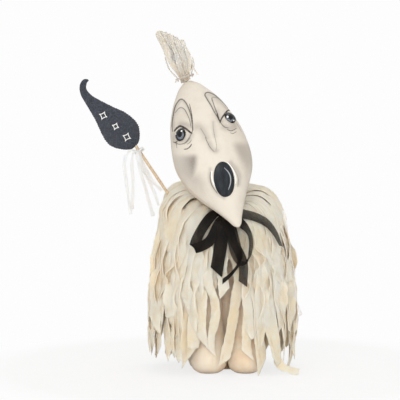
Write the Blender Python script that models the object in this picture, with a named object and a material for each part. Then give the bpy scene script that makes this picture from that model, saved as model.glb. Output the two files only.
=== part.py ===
"""A cloth ghost doll that stands on a shelf: stuffed body and legs, a pointed head with bead
eyes, a robe of torn muslin strips, a topknot, a ribbon bow, and a felt sign on a stick.

Metres, +Z up. The doll faces -Y, and its origin is on the floor under the neck.
"""

import math
import random

import bmesh
import bpy
from mathutils import Vector

MM = 0.001

# Fits
CLEARANCE = 0.3 * MM
CLOTH = 0.8 * MM
RIBBON = 0.6 * MM

# Body: a stuffed sack with a flat weighted bottom and a neck that leans forward into the head
BASE_RADIUS = 34 * MM
BELLY_RADIUS = 42 * MM
BELLY_HEIGHT = 62 * MM
SHOULDER_RADIUS = 29 * MM
SHOULDER_HEIGHT = 116 * MM
NECK_RADIUS = 13 * MM
NECK_BASE = 136 * MM
NECK_BEND = 184 * MM
NECK_TOP = 208 * MM
NECK_FORWARD = 15 * MM
BODY_BACK = 13 * MM
BODY_FLATNESS = 0.12
BODY_SIDES = 24

# Legs: stuffed socks that stand in front of the body, toes forward
LEG_SPACING = 36.5 * MM
LEG_MIDDLE_X = 5 * MM
FOOT_HALF_WIDTH = 18 * MM
FOOT_HEIGHT = 33 * MM
TOE_REACH = 58 * MM
LEG_GAP = 0.5 * MM
LEG_TOP = 96 * MM
LEG_SIDES = 20

# Head: rings along a line from crown to chin
HEAD_CROWN = Vector((-34.7 * MM, -12.0 * MM, 290.3 * MM))
HEAD_MIDDLE = Vector((-11.0 * MM, -43.0 * MM, 218.9 * MM))
HEAD_JAW = Vector((3.7 * MM, -60.0 * MM, 176.4 * MM))
HEAD_CHIN = Vector((15.3 * MM, -72.0 * MM, 148.2 * MM))
HEAD_DEPTH_RATIO = 0.9
HEAD_TURN = math.radians(9.0)
HEAD_SIDES = 36
# Share of the way down the head, and half its width there
HEAD_WIDTHS = (
    (0.012, 5.6 * MM),
    (0.045, 11.6 * MM),
    (0.09, 16.8 * MM),
    (0.15, 22.8 * MM),
    (0.23, 28.8 * MM),
    (0.32, 33.2 * MM),
    (0.42, 36.6 * MM),
    (0.53, 38.1 * MM),
    (0.61, 36.6 * MM),
    (0.68, 33.0 * MM),
    (0.75, 26.6 * MM),
    (0.82, 19.2 * MM),
    (0.88, 13.0 * MM),
    (0.94, 7.4 * MM),
    (0.98, 4.3 * MM),
    (0.995, 2.2 * MM),
)
SOCKET_MOUTH = 16 * MM
NOSE_HEIGHT = 2.2 * MM
NOSE_TIP_SHARE = 0.565
NOSE_LENGTH_SHARE = 0.17
NOSE_HALF_ANGLE = math.radians(11)

# Eye beads and mouth: pads on the face, each placed by its share of the way down and its angle
EYE_DIAMETER = 13 * MM
EYE_RISE = 3.6 * MM
LEFT_EYE_SHARE = 0.383
RIGHT_EYE_SHARE = 0.366
EYE_ANGLE = math.radians(46)
MOUTH_HALF_WIDTH = 10 * MM
MOUTH_HALF_LENGTH = 15.2 * MM
MOUTH_SHARE = 0.737
MOUTH_LEAN = 0.1
MOUTH_RISE = 0.9 * MM
PAD_EDGE = 0.7 * MM

# Robe: torn strips that rise from the neck, turn over at the shoulder and fall to the hem.
# Each pair is a reach from the neck's axis and a height.
ROBE_FULLNESS = 28.5 * MM
ROBE_REACH = BELLY_RADIUS + ROBE_FULLNESS
ROBE_PROFILE = (
    (NECK_RADIUS + 2.9 * MM, NECK_BASE + 35 * MM),
    (NECK_RADIUS + 14 * MM, NECK_BASE + 42 * MM),
    (NECK_RADIUS + 25 * MM, NECK_BASE + 45 * MM),
    (ROBE_REACH - 21.5 * MM, NECK_BASE + 39 * MM),
    (ROBE_REACH - 14 * MM, NECK_BASE + 27 * MM),
    (ROBE_REACH - 10 * MM, NECK_BASE + 11 * MM),
    (ROBE_REACH - 6.5 * MM, 125 * MM),
    (ROBE_REACH - 3.5 * MM, 100 * MM),
    (ROBE_REACH - 1 * MM, 74 * MM),
    (ROBE_REACH, 50 * MM),
    (ROBE_REACH - 0.5 * MM, 26 * MM),
    (ROBE_REACH - 2 * MM, 2 * MM),
)
ROBE_DEPTH_RATIO = 0.88
ROBE_FRONT_DROP = 24 * MM
ROBE_NECK_SHARE = 0.4
ROBE_NECK_FALL = 24 * MM
ROBE_TILT = 0.07
LAYER_STEP = 1.7 * MM
LAYER_ORDER = (0, 2, 1, 3)
STRIP_WIDTH = 15 * MM
STRIP_NECK_WIDTH = 7.5 * MM
STRIP_STEP = 19 * MM
STICK_SIDE = math.radians(270)
STICK_GAP = math.radians(11)

# Front strips from left to right: angle at the shoulder, halfway and at the hem in degrees from
# straight ahead, then the hem's height, the strip's width and how far its hem swings forward
FRONT_STRIPS = (
    (-66, -67, -70, 36 * MM, 15 * MM, 0.0),
    (-56, -58, -61, 21 * MM, 14 * MM, 0.0),
    (-47, -49, -50, 22 * MM, 15 * MM, 0.0),
    (-38, -39, -36, 17 * MM, 15 * MM, 0.0),
    (-29, -29, -27, 17 * MM, 15 * MM, 3 * MM),
    (-19, -17, -16, 34 * MM, 12 * MM, 3 * MM),
    (-9, -8, -9, 92 * MM, 12 * MM, 0.0),
    (1, 0, 1, 84 * MM, 11 * MM, 0.0),
    (10, 12, 2, 14 * MM, 10 * MM, 0.0),
    (19, 20, 19, 40 * MM, 11 * MM, 4 * MM),
    (28, 27, 32, 9 * MM, 12 * MM, 4 * MM),
    (37, 38, 44, 12 * MM, 15 * MM, 4 * MM),
    (47, 48, 50, 27 * MM, 15 * MM, 0.0),
    (57, 57, 60, 28 * MM, 16 * MM, 0.0),
    (67, 68, 72, 50 * MM, 13 * MM, 0.0),
)
BACK_STRIP_COUNT = 21
BACK_HEM_LOW = 9 * MM
BACK_HEM_HIGH = 30 * MM

# Ribbon bow at the throat
RIBBON_WIDTH = 11 * MM
RIBBON_GAP = 1.2 * MM
# What one step of the bow's routes measures
BOW_UNIT = 1 * MM
KNOT_CENTRE = Vector((3.5 * MM, -42.3 * MM, 163.6 * MM))
KNOT_SIZE = Vector((11 * MM, 5 * MM, 5 * MM))

# Felt sign and its stick
STICK_DIAMETER = 3.2 * MM
STICK_TOP = Vector((-93.5 * MM, -1.0 * MM, 235.4 * MM))
STICK_FOOT = Vector((-11.6 * MM, -1.0 * MM, 114.0 * MM))
SIGN_SOCKET = 12 * MM
SIGN_THICKNESS = 9 * MM
# Places across and up on the sign's left edge and on its right edge, from its foot to the tip of
# its tail
SIGN_EDGES = (
    ((-90.9 * MM, 222.4 * MM), (-87.9 * MM, 224.8 * MM)),
    ((-96.0 * MM, 221.8 * MM), (-84.6 * MM, 228.4 * MM)),
    ((-101.5 * MM, 222.3 * MM), (-83.1 * MM, 233.5 * MM)),
    ((-107.1 * MM, 223.5 * MM), (-83.0 * MM, 238.8 * MM)),
    ((-112.7 * MM, 226.1 * MM), (-83.8 * MM, 244.6 * MM)),
    ((-117.2 * MM, 230.7 * MM), (-86.5 * MM, 249.9 * MM)),
    ((-121.3 * MM, 237.8 * MM), (-91.9 * MM, 255.3 * MM)),
    ((-124.7 * MM, 245.3 * MM), (-99.4 * MM, 260.5 * MM)),
    ((-128.8 * MM, 253.8 * MM), (-109.6 * MM, 265.0 * MM)),
    ((-138.2 * MM, 269.7 * MM), (-128.2 * MM, 274.6 * MM)),
    ((-142.1 * MM, 276.7 * MM), (-134.9 * MM, 280.3 * MM)),
    ((-143.6 * MM, 283.9 * MM), (-136.9 * MM, 284.2 * MM)),
    ((-142.3 * MM, 289.6 * MM), (-136.6 * MM, 287.8 * MM)),
    ((-139.1 * MM, 292.9 * MM), (-135.8 * MM, 289.9 * MM)),
    ((-135.3 * MM, 293.0 * MM), (-134.2 * MM, 291.6 * MM)),
)
STREAMER_WIDTH = 3.6 * MM
STREAMER_DRIFT = 0.7 * MM
# What one step of the streamers' routes measures
STREAMER_UNIT = 1 * MM
TIE_THICKNESS = 2.2 * MM
TIE_CENTRE = Vector((-83.4 * MM, -1.0 * MM, 220.4 * MM))

# Topknot on the crown
TOPKNOT_FOOT = Vector((-35.8 * MM, -12.0 * MM, 290.0 * MM))
TOPKNOT_MIDDLE = Vector((-44.5 * MM, -11.0 * MM, 318.0 * MM))
TOPKNOT_TIP = Vector((-56.5 * MM, -11.5 * MM, 342.0 * MM))
# What one step of the topknot's routes measures
TOPKNOT_UNIT = 1 * MM
TOPKNOT_STRIP_WIDTH = 7 * MM
TOPKNOT_TIE_DEPTH = 6.8 * MM
TOPKNOT_TIE_STRETCH = 1.38
THREAD = 0.8 * MM

COLOURS = {
    "muslin": (0.84, 0.74, 0.62, 0.9, 0.0),
    "muslin_dark": (0.72, 0.56, 0.42, 0.9, 0.0),
    "muslin_pale": (0.88, 0.85, 0.78, 0.9, 0.0),
    "painted_cloth": (0.86, 0.82, 0.74, 0.6, 0.0),
    "black_paint": (0.03, 0.035, 0.04, 0.3, 0.0),
    "eye_bead": (0.02, 0.025, 0.03, 0.1, 0.0),
    "organza": (0.02, 0.02, 0.02, 0.5, 0.0),
    "felt": (0.06, 0.065, 0.08, 0.95, 0.0),
    "wood": (0.62, 0.42, 0.25, 0.7, 0.0),
}


def material(slot):
    """The material of that name, made the first time that it is asked for."""
    made = bpy.data.materials.get(slot)
    if made:
        return made
    red, green, blue, roughness, metallic = COLOURS[slot]
    made = bpy.data.materials.new(slot)
    made.use_nodes = True
    shader = made.node_tree.nodes["Principled BSDF"]
    shader.inputs["Base Color"].default_value = (red, green, blue, 1)
    shader.inputs["Roughness"].default_value = roughness
    shader.inputs["Metallic"].default_value = metallic
    return made


def finish(name, mesh, slot):
    """An object of this mesh with its faces pointing out, shaded smooth but for its edges."""
    work = bmesh.new()
    work.from_mesh(mesh)
    bmesh.ops.recalc_face_normals(work, faces=work.faces)
    work.to_mesh(mesh)
    work.free()
    mesh.shade_smooth()
    mesh.set_sharp_from_angle(angle=math.radians(40))
    mesh.materials.append(material(slot))
    made = bpy.data.objects.new(name, mesh)
    bpy.context.scene.collection.objects.link(made)
    return made


def loft(name, rings, slot, start_pole=None, end_pole=None):
    """One closed solid through rings of equally many points. An end is a flat cap, or a fan to
    its pole where it has one."""
    work = bmesh.new()
    loops = [[work.verts.new(point) for point in ring] for ring in rings]
    count = len(rings[0])
    for lower, upper in zip(loops, loops[1:]):
        for i in range(count):
            j = (i + 1) % count
            work.faces.new((lower[i], lower[j], upper[j], upper[i]))
    for ring, pole in ((loops[0], start_pole), (loops[-1], end_pole)):
        if pole is None:
            work.faces.new(ring)
            continue
        tip = work.verts.new(pole)
        for i in range(count):
            work.faces.new((ring[i], ring[(i + 1) % count], tip))
    bmesh.ops.triangulate(work, faces=work.faces)
    mesh = bpy.data.meshes.new(name)
    work.to_mesh(mesh)
    work.free()
    return finish(name, mesh, slot)


def spline_at(points, place):
    """The point on the smooth curve through these points, where place runs from 0 to 1."""
    place = min(max(place, 0.0), 1.0) * (len(points) - 1)
    i = min(int(place), len(points) - 2)
    t = place - i
    a = points[max(i - 1, 0)]
    b, c = points[i], points[i + 1]
    d = points[min(i + 2, len(points) - 1)]
    return 0.5 * (
        2 * b + (c - a) * t + (2 * a - 5 * b + 4 * c - d) * t**2 + (3 * b - a - 3 * c + d) * t**3
    )


def along_curve(points, count):
    """Evenly spaced points on the smooth curve through these points."""
    fine_count = 40 * len(points)
    fine = [spline_at(points, i / fine_count) for i in range(fine_count + 1)]
    run = [0.0]
    for a, b in zip(fine, fine[1:]):
        run.append(run[-1] + (b - a).length)
    found = []
    at = 0
    for k in range(count):
        goal = run[-1] * k / (count - 1)
        while at < len(run) - 2 and run[at + 1] < goal:
            at += 1
        share = (goal - run[at]) / max(run[at + 1] - run[at], 1e-12)
        found.append(fine[at].lerp(fine[at + 1], min(share, 1.0)))
    return found


def interpolate(pairs, at):
    """The value at this place in a table of pairs, smooth between its rows."""
    if at <= pairs[0][0]:
        return pairs[0][1]
    if at >= pairs[-1][0]:
        return pairs[-1][1]
    i = max(k for k in range(len(pairs) - 1) if pairs[k][0] <= at)
    (x0, y0), (x1, y1) = pairs[i], pairs[i + 1]
    before = pairs[i - 1] if i else pairs[i]
    after = pairs[i + 2] if i + 2 < len(pairs) else pairs[i + 1]
    slope0 = (y1 - before[1]) / (x1 - before[0])
    slope1 = (after[1] - y0) / (after[0] - x0)
    t = (at - x0) / (x1 - x0)
    rise = (x1 - x0) * (slope0 * (t - 2 * t**2 + t**3) + slope1 * (t**3 - t**2))
    return rise + y0 + (y1 - y0) * (3 * t**2 - 2 * t**3)


def smooth_step(share):
    share = min(max(share, 0.0), 1.0)
    return share * share * (3 - 2 * share)


def tangents(points):
    """Unit directions along a row of points."""
    last = len(points) - 1
    return [
        (points[min(i + 1, last)] - points[max(i - 1, 0)]).normalized() for i in range(last + 1)
    ]


def sheet(name, low_rows, high_rows, slot):
    """A closed sheet of cloth between two faces, each given as rows of left, middle and right."""
    rings = [
        list(low) + list(reversed(high)) for low, high in zip(low_rows, high_rows)
    ]
    return loft(name, rings, slot)


def band(name, centres, across, widths, thickness, slot, slant=0.0):
    """A flat strip along these centres. Across gives its width's direction at each, and slant
    shears its end as a torn strip's."""
    rings = []
    for i, (centre, along) in enumerate(zip(centres, tangents(centres))):
        side = (across[i] - along * across[i].dot(along)).normalized()
        up = side.cross(along).normalized() * thickness / 2
        half = side * widths[i] / 2
        shear = along * slant if i == len(centres) - 1 else Vector((0, 0, 0))
        left, right = centre - half + shear, centre + half - shear
        rings.append([left - up, right - up, right + up, left + up])
    return loft(name, rings, slot)


def ring_points(centre, half_x, half_y, sides, tilt=0.0):
    """A level ellipse of points, tilted about X by this angle."""
    points = []
    for k in range(sides):
        turn = 2 * math.pi * k / sides
        x, y = half_x * math.sin(turn), -half_y * math.cos(turn)
        points.append(centre + Vector((x, y * math.cos(tilt), y * math.sin(tilt))))
    return points


def join_solids(carrier, others):
    """Fuses the other solids into the carrier and removes them."""
    for other in others:
        union = carrier.modifiers.new("join", "BOOLEAN")
        union.operation = "UNION"
        union.use_self = True
        union.object = other
    apply_modifiers(carrier)
    for other in others:
        bpy.data.objects.remove(other)


def cut(carrier, cutter):
    """Takes the cutter's shape out of the carrier and removes the cutter."""
    difference = carrier.modifiers.new("cut", "BOOLEAN")
    difference.operation = "DIFFERENCE"
    difference.object = cutter
    apply_modifiers(carrier)
    bpy.data.objects.remove(cutter)


def apply_modifiers(carrier):
    """Turns what the object's modifiers make into its own mesh."""
    bpy.context.view_layer.update()
    graph = bpy.context.evaluated_depsgraph_get()
    mesh = bpy.data.meshes.new_from_object(carrier.evaluated_get(graph))
    carrier.modifiers.clear()
    carrier.data = mesh


def rod(name, start, end, radius, sides, slot):
    """A straight round rod between two points."""
    along = (end - start).normalized()
    side = along.cross(Vector((0, 1, 0))).normalized()
    up = side.cross(along)
    turns = [2 * math.pi * k / sides for k in range(sides)]
    rings = [
        [point + (side * math.cos(turn) + up * math.sin(turn)) * radius for turn in turns]
        for point in (start, end)
    ]
    return loft(name, rings, slot)


def body_stations():
    """Heights up the body with its centre's set back, its half width and its half depth."""
    upright = (
        (0.0, BASE_RADIUS * 0.93),
        (5 * MM, BASE_RADIUS),
        (BELLY_HEIGHT * 0.5, (BASE_RADIUS + BELLY_RADIUS) / 2 + 1.5 * MM),
        (BELLY_HEIGHT, BELLY_RADIUS),
        ((BELLY_HEIGHT + SHOULDER_HEIGHT) / 2, (BELLY_RADIUS + SHOULDER_RADIUS) / 2 + 2 * MM),
        (SHOULDER_HEIGHT, SHOULDER_RADIUS),
        (NECK_BASE - 6 * MM, NECK_RADIUS + 3 * MM),
        (NECK_BASE, NECK_RADIUS),
        ((NECK_BASE + NECK_BEND) / 2, NECK_RADIUS),
        (NECK_BEND, NECK_RADIUS),
    )
    rows = []
    for height, radius in upright:
        low = 1 - smooth_step(height / NECK_BASE)
        rows.append((height, BODY_BACK * low, radius, radius * (1 - BODY_FLATNESS * low)))
    return rows


def body_at(height):
    """The body's set back, half width and half depth at this height."""
    rows = body_stations()
    i = max(k for k in range(len(rows) - 1) if rows[k][0] <= height)
    low, high = rows[i], rows[i + 1]
    share = (height - low[0]) / (high[0] - low[0])
    return [a + (b - a) * share for a, b in zip(low[1:], high[1:])]


def leg_ring(x, height, half, front):
    """The leg's ring at this height, as deep as the body behind it leaves room for."""
    back, half_width, half_depth = body_at(height)
    near, far = 0.0, front - half
    for _ in range(30):
        reach = (near + far) / 2
        ring = ring_points(Vector((x, -(front + reach) / 2, height)), half, (front - reach) / 2, LEG_SIDES)
        clear = all(
            math.hypot(p.x / (half_width + LEG_GAP), (p.y - back) / (half_depth + LEG_GAP)) > 1
            for p in ring
        )
        near, far = (near, reach) if clear else (reach, far)
    return ring_points(Vector((x, -(front + far) / 2, height)), half, (front - far) / 2, LEG_SIDES)


def neck_centre(share):
    """The neck's middle above its bend, which curves forward into the head."""
    return Vector((0, -NECK_FORWARD * share**1.5, NECK_BEND + (NECK_TOP - NECK_BEND) * share))


def make_body():
    """Stuffed body: flat bottom, belly, shoulders and a neck that bends forward into the head."""
    rings = [
        ring_points(Vector((0, back, height)), half_width, half_depth, BODY_SIDES)
        for height, back, half_width, half_depth in body_stations()
    ]
    lean = math.atan2(NECK_FORWARD, NECK_TOP - NECK_BEND)
    for share in (0.5, 1.0):
        centre = neck_centre(share)
        rings.append(ring_points(centre, NECK_RADIUS, NECK_RADIUS, BODY_SIDES, lean * share))
    return loft("body", rings, "muslin_dark")


def make_leg(name, x):
    """A stuffed leg: flat sole, round toe, and a shank sewn to the body's front."""
    # Height, share of the foot's half width, and how far the front lies behind the toe's tip
    stations = (
        (0.0, 0.6, 17 * MM),
        (3.5 * MM, 0.83, 8 * MM),
        (9 * MM, 0.97, 2 * MM),
        (17 * MM, 1.0, 0.0),
        (25 * MM, 0.96, 1.5 * MM),
        (FOOT_HEIGHT, 0.87, 5 * MM),
        (45 * MM, 0.80, 8 * MM),
        (62 * MM, 0.77, 9 * MM),
        (80 * MM, 0.73, 11 * MM),
        (LEG_TOP - 4 * MM, 0.6, 15 * MM),
        (LEG_TOP, 0.35, 19 * MM),
    )
    rings = [
        leg_ring(x, height, FOOT_HALF_WIDTH * share, TOE_REACH - behind)
        for height, share, behind in stations
    ]
    return loft(name, rings, "muslin_dark")


def head_frame(share):
    """Centre, direction to the chin, direction to the face's right and the face's direction."""
    line = (HEAD_CROWN, HEAD_MIDDLE, HEAD_JAW, HEAD_CHIN)
    lengths = [0.0]
    for a, b in zip(line, line[1:]):
        lengths.append(lengths[-1] + (b - a).length)
    whole = lengths[-1]
    places = [length / whole for length in lengths]
    centre = Vector([interpolate([(p, q[k]) for p, q in zip(places, line)], share) for k in range(3)])
    down = (HEAD_CHIN - HEAD_CROWN).normalized()
    across = Vector((0, -1, 0)).cross(down).normalized() * -1
    face = down.cross(across)
    if face.y > 0:
        across, face = -across, -face
    if across.x < 0:
        across = -across
    turned_face = face * math.cos(HEAD_TURN) + across * math.sin(HEAD_TURN)
    turned_across = across * math.cos(HEAD_TURN) - face * math.sin(HEAD_TURN)
    return centre, down, turned_across, turned_face


def head_surface(share, angle, lift=0.0):
    """The point on the head this share of the way down, at this angle from the face's middle
    towards its right as seen, raised by lift along the ring's normal."""
    centre, _, across, face = head_frame(share)
    half = interpolate(HEAD_WIDTHS, share)
    nose = max(0.0, 1 - abs(angle) / NOSE_HALF_ANGLE)
    climb = (share - NOSE_TIP_SHARE + NOSE_LENGTH_SHARE) / NOSE_LENGTH_SHARE
    ridge = smooth_step(climb) if climb <= 1 else smooth_step(1 - (climb - 1) * 6)
    lift += NOSE_HEIGHT * smooth_step(nose) * ridge
    x = (half + lift) * math.sin(angle)
    y = (half * HEAD_DEPTH_RATIO + lift) * math.cos(angle)
    return centre + across * x + face * y


def make_head():
    """Stuffed cloth head with a low nose, and a socket at the back for the neck."""
    extra = [0.275, 0.37, 0.475, 0.5, 0.565, 0.592, 0.645]
    shares = sorted([share for share, _ in HEAD_WIDTHS] + extra)
    rings = [
        [head_surface(share, 2 * math.pi * k / HEAD_SIDES) for k in range(HEAD_SIDES)]
        for share in shares
    ]
    head = loft("head", rings, "painted_cloth", HEAD_CROWN, HEAD_CHIN)
    lean = math.atan2(NECK_FORWARD, NECK_TOP - NECK_BEND)
    radius = NECK_RADIUS + CLEARANCE
    below = Vector((0, 0, -SOCKET_MOUTH))
    socket_rings = [ring_points(neck_centre(0.0) + below, radius, radius, BODY_SIDES)]
    for share in (0.0, 0.5, 1.0):
        centre = neck_centre(share)
        if share == 1.0:
            centre += Vector((0, -math.sin(lean), math.cos(lean))) * CLEARANCE
        socket_rings.append(ring_points(centre, radius, radius, BODY_SIDES, lean * share))
    cut(head, loft("socket", socket_rings, "painted_cloth"))
    return head


def make_pad(name, share, angle, half_across, half_along, rise, slot, sides, rows, lean=0.0):
    """A domed oval pad on the face, following the head's surface a clearance above it."""
    line_length = (HEAD_CHIN - HEAD_CROWN).length

    def place(out, turn, lift):
        down = share + out * half_along * math.cos(turn) / line_length
        around = interpolate(HEAD_WIDTHS, down)
        aside = half_across * math.sin(turn) - lean * half_along * math.cos(turn)
        return head_surface(down, angle + out * aside / around, lift)

    turns = [2 * math.pi * k / sides for k in range(sides)]
    outs = [k / rows for k in range(1, rows + 1)]
    under = [[place(out, turn, CLEARANCE) for turn in turns] for out in outs]
    over = [
        [place(out, turn, CLEARANCE + PAD_EDGE + rise * math.sqrt(1 - out**2)) for turn in turns]
        for out in reversed(outs)
    ]
    start = place(0, 0, CLEARANCE)
    end = place(0, 0, CLEARANCE + PAD_EDGE + rise)
    return loft(name, under + over, slot, start, end)


def robe_line():
    """The robe's profile as (distance from the neck along it, reach, height), finely spaced."""
    corners = [Vector((reach, height)) for reach, height in ROBE_PROFILE]
    points = along_curve(corners, 120)
    rows = [(0.0, points[0])]
    for a, b in zip(points, points[1:]):
        rows.append((rows[-1][0] + (b - a).length, b))
    return rows


ROBE_LINE = robe_line()
SHOULDER_FALL = 52 * MM
FADE_FALL = 95 * MM


def robe_point(angle, fall, lift):
    """A point on the robe: angle from straight ahead, distance from the neck along the cloth,
    and height above the innermost layer."""
    i = max(1, min(len(ROBE_LINE) - 1, sum(1 for row in ROBE_LINE if row[0] < fall)))
    (run0, a), (run1, b) = ROBE_LINE[i - 1], ROBE_LINE[i]
    on_line = a.lerp(b, min(max((fall - run0) / (run1 - run0), 0.0), 1.0))
    along = (b - a).normalized()
    reach = on_line.x - along.y * lift
    height = on_line.y + along.x * lift
    flatten = 1 - (1 - ROBE_DEPTH_RATIO) * smooth_step(fall / SHOULDER_FALL)
    fade = 1 - smooth_step((fall - SHOULDER_FALL) / FADE_FALL)
    opening = ROBE_NECK_SHARE + (1 - ROBE_NECK_SHARE) * smooth_step(fall / ROBE_NECK_FALL)
    drop = ROBE_FRONT_DROP * opening * max(0.0, math.cos(angle)) ** 1.3 * fade
    x = reach * math.sin(angle)
    y = -reach * flatten * math.cos(angle)
    return Vector((x, y, height - drop - ROBE_TILT * x * fade))


def fall_at(height):
    """How far along the profile the robe has fallen to this height."""
    for (run0, a), (run1, b) in zip(ROBE_LINE, ROBE_LINE[1:]):
        if run0 > SHOULDER_FALL and b.y <= height:
            return run0 + (run1 - run0) * (a.y - height) / (a.y - b.y)
    return ROBE_LINE[-1][0]


def strip_plan():
    """For each robe strip its three angles, its hem's height and swing, its width and its layer."""
    chance = random.Random(7)
    first = FRONT_STRIPS[0][0]
    last = FRONT_STRIPS[-1][0]
    step = (360 - last + first) / (BACK_STRIP_COUNT + 1)
    plan = []
    total = len(FRONT_STRIPS) + BACK_STRIP_COUNT
    for number in range(total):
        if number < len(FRONT_STRIPS):
            *degrees, hem, width, swing = FRONT_STRIPS[number]
        else:
            middle = last + (number - len(FRONT_STRIPS) + 1) * step
            degrees = [middle + chance.uniform(-2.5, 2.5) for _ in range(3)]
            hem = chance.uniform(BACK_HEM_LOW, BACK_HEM_HIGH)
            width = STRIP_WIDTH * chance.uniform(0.9, 1.12)
            swing = 0.0
        sway = [math.radians(degree) for degree in degrees]
        off_stick = sway[0] - STICK_SIDE
        if abs(off_stick) < STICK_GAP:
            sway[0] = STICK_SIDE + math.copysign(STICK_GAP, off_stick)
        layer = LAYER_ORDER[number % len(LAYER_ORDER)]
        if number == total - 1 and layer == LAYER_ORDER[0]:
            layer = LAYER_ORDER[2]
        plan.append((sway, hem, swing, width, layer))
    return plan


def make_strip(name, sway, hem, swing, width, layer):
    """One torn strip from the neck over the shoulder to its hem."""
    end = fall_at(hem)
    falls = [k * STRIP_STEP for k in range(int(end / STRIP_STEP) + 1)]
    if end - falls[-1] < STRIP_STEP / 2:
        falls[-1] = end
    else:
        falls.append(end)
    turns = ((0.0, sway[0]), (SHOULDER_FALL, sway[0]), (end * 0.62, sway[1]), (end, sway[2]))
    slant = width * (0.35 if layer % 2 else -0.3)
    sewn = CLOTH + 2 * CLEARANCE
    low_rows, high_rows = [], []
    for k, fall in enumerate(falls):
        angle = interpolate(turns, fall)
        spread = smooth_step(fall / (SHOULDER_FALL * 1.3))
        half = (STRIP_NECK_WIDTH + (width - STRIP_NECK_WIDTH) * spread) / 2
        step = sewn + (LAYER_STEP - sewn) * smooth_step(fall / SHOULDER_FALL)
        lift = layer * step + swing * smooth_step(2 * fall / end - 1)
        shear = slant if k == len(falls) - 1 else 0.0
        for rows, face in ((low_rows, lift - CLOTH / 2), (high_rows, lift + CLOTH / 2)):
            middle = robe_point(angle, fall, face)
            turn = half / math.hypot(middle.x, middle.y)
            left = robe_point(angle - turn, fall + shear, face)
            right = robe_point(angle + turn, fall - shear, face)
            rows.append((left, middle, right))
    return sheet(name, low_rows, high_rows, "muslin")


def make_sign():
    """Stuffed felt sign: a drop that runs out into a curled tail, with a socket for its stick."""
    sides = 16
    edges = [[Vector((x, STICK_TOP.y, z)) for x, z in pair] for pair in SIGN_EDGES]
    most = max((right - left).length for left, right in edges)
    rings = []
    for left, right in edges:
        point, width = (left + right) / 2, (right - left).length
        thick = SIGN_THICKNESS * math.sqrt(width / most)
        ring = []
        for k in range(sides):
            turn = 2 * math.pi * k / sides
            ring.append(
                point
                + (right - left) / 2 * math.cos(turn)
                + Vector((0, 1, 0)) * math.sin(turn) * thick / 2
            )
        rings.append(ring)
    sign = loft("sign", rings, "felt")
    down = (STICK_FOOT - STICK_TOP).normalized()
    bore = rod(
        "bore",
        STICK_TOP - down * CLEARANCE,
        STICK_TOP + down * SIGN_SOCKET * 2,
        STICK_DIAMETER / 2 + CLEARANCE,
        12,
        "felt",
    )
    cut(sign, bore)
    return sign


def make_stick(body):
    """Wooden stick from the sign into the body's shoulder, and the hole that it is pushed into."""
    down = (STICK_FOOT - STICK_TOP).normalized()
    bore = rod(
        "bore",
        STICK_FOOT - down * 40 * MM,
        STICK_FOOT + down * CLEARANCE,
        STICK_DIAMETER / 2 + CLEARANCE,
        12,
        "wood",
    )
    cut(body, bore)
    return rod("stick", STICK_TOP, STICK_FOOT, STICK_DIAMETER / 2, 12, "wood")


def torus_solid(name, centre, axis, ring_radius, tube_radius, slot, stretch=1.0):
    """A ring of cord around an axis."""
    side = axis.cross(Vector((0, 1, 0))).normalized()
    up = side.cross(axis).normalized()
    work = bmesh.new()
    around, section = 16, 6
    loops = []
    for k in range(around):
        turn = 2 * math.pi * k / around
        out = side * math.cos(turn) + up * math.sin(turn)
        place = centre + (side * math.cos(turn) * stretch + up * math.sin(turn)) * ring_radius
        loops.append([
            work.verts.new(
                place
                + out * tube_radius * math.cos(2 * math.pi * j / section)
                + axis * tube_radius * math.sin(2 * math.pi * j / section)
            )
            for j in range(section)
        ])
    for k in range(around):
        for j in range(section):
            a, b = loops[k], loops[(k + 1) % around]
            work.faces.new((a[j], a[(j + 1) % section], b[(j + 1) % section], b[j]))
    mesh = bpy.data.meshes.new(name)
    work.to_mesh(mesh)
    work.free()
    return finish(name, mesh, slot)


def make_streamers():
    """The knotted rag under the sign, and the narrow strips that hang from it."""
    down = (STICK_FOOT - STICK_TOP).normalized()
    bore_radius = STICK_DIAMETER / 2 + CLEARANCE
    tie_radius = bore_radius + TIE_THICKNESS
    torus_solid("sign_tie", TIE_CENTRE, down, tie_radius, TIE_THICKNESS, "muslin_pale")
    # Each streamer's route across and down from the knot
    hung = {
        "streamer_1": ((1, 1), (2, -6), (5, -14), (13.1, -29.2), (22.8, -40)),
        "streamer_2": ((0.5, 1), (0.6, -7), (3.3, -17.7), (12.1, -34.1), (19.9, -54.6)),
        "streamer_3": ((0, 1), (-2.4, -4.9), (1.4, -19.6), (5.3, -34.1), (14.1, -65.2)),
        "streamer_4": ((-0.5, 1), (-5.6, -1), (-7.3, -14.7), (-5.9, -34.1), (-7.3, -58.4)),
        "streamer_5": ((-1, 1.5), (-9.4, 0.2), (-14.6, -10), (-12.6, -32), (-8.3, -63.2)),
    }
    front = bore_radius + 2 * TIE_THICKNESS + CLEARANCE + CLOTH / 2
    for number, (name, route) in enumerate(hung.items()):
        forward = front + number * (CLOTH + CLEARANCE)
        corners = [
            TIE_CENTRE + Vector((x, 0, z)) * STREAMER_UNIT + Vector((0, k * STREAMER_DRIFT - forward, 0))
            for k, (x, z) in enumerate(route)
        ]
        centres = along_curve(corners, 8)
        widths = [STREAMER_WIDTH * (0.5 + 0.5 * smooth_step(k / 3)) for k in range(8)]
        across = [Vector((1, 0, 0))] * 8
        band(name, centres, across, widths, CLOTH, "muslin_pale", STREAMER_WIDTH * 0.3)


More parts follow.
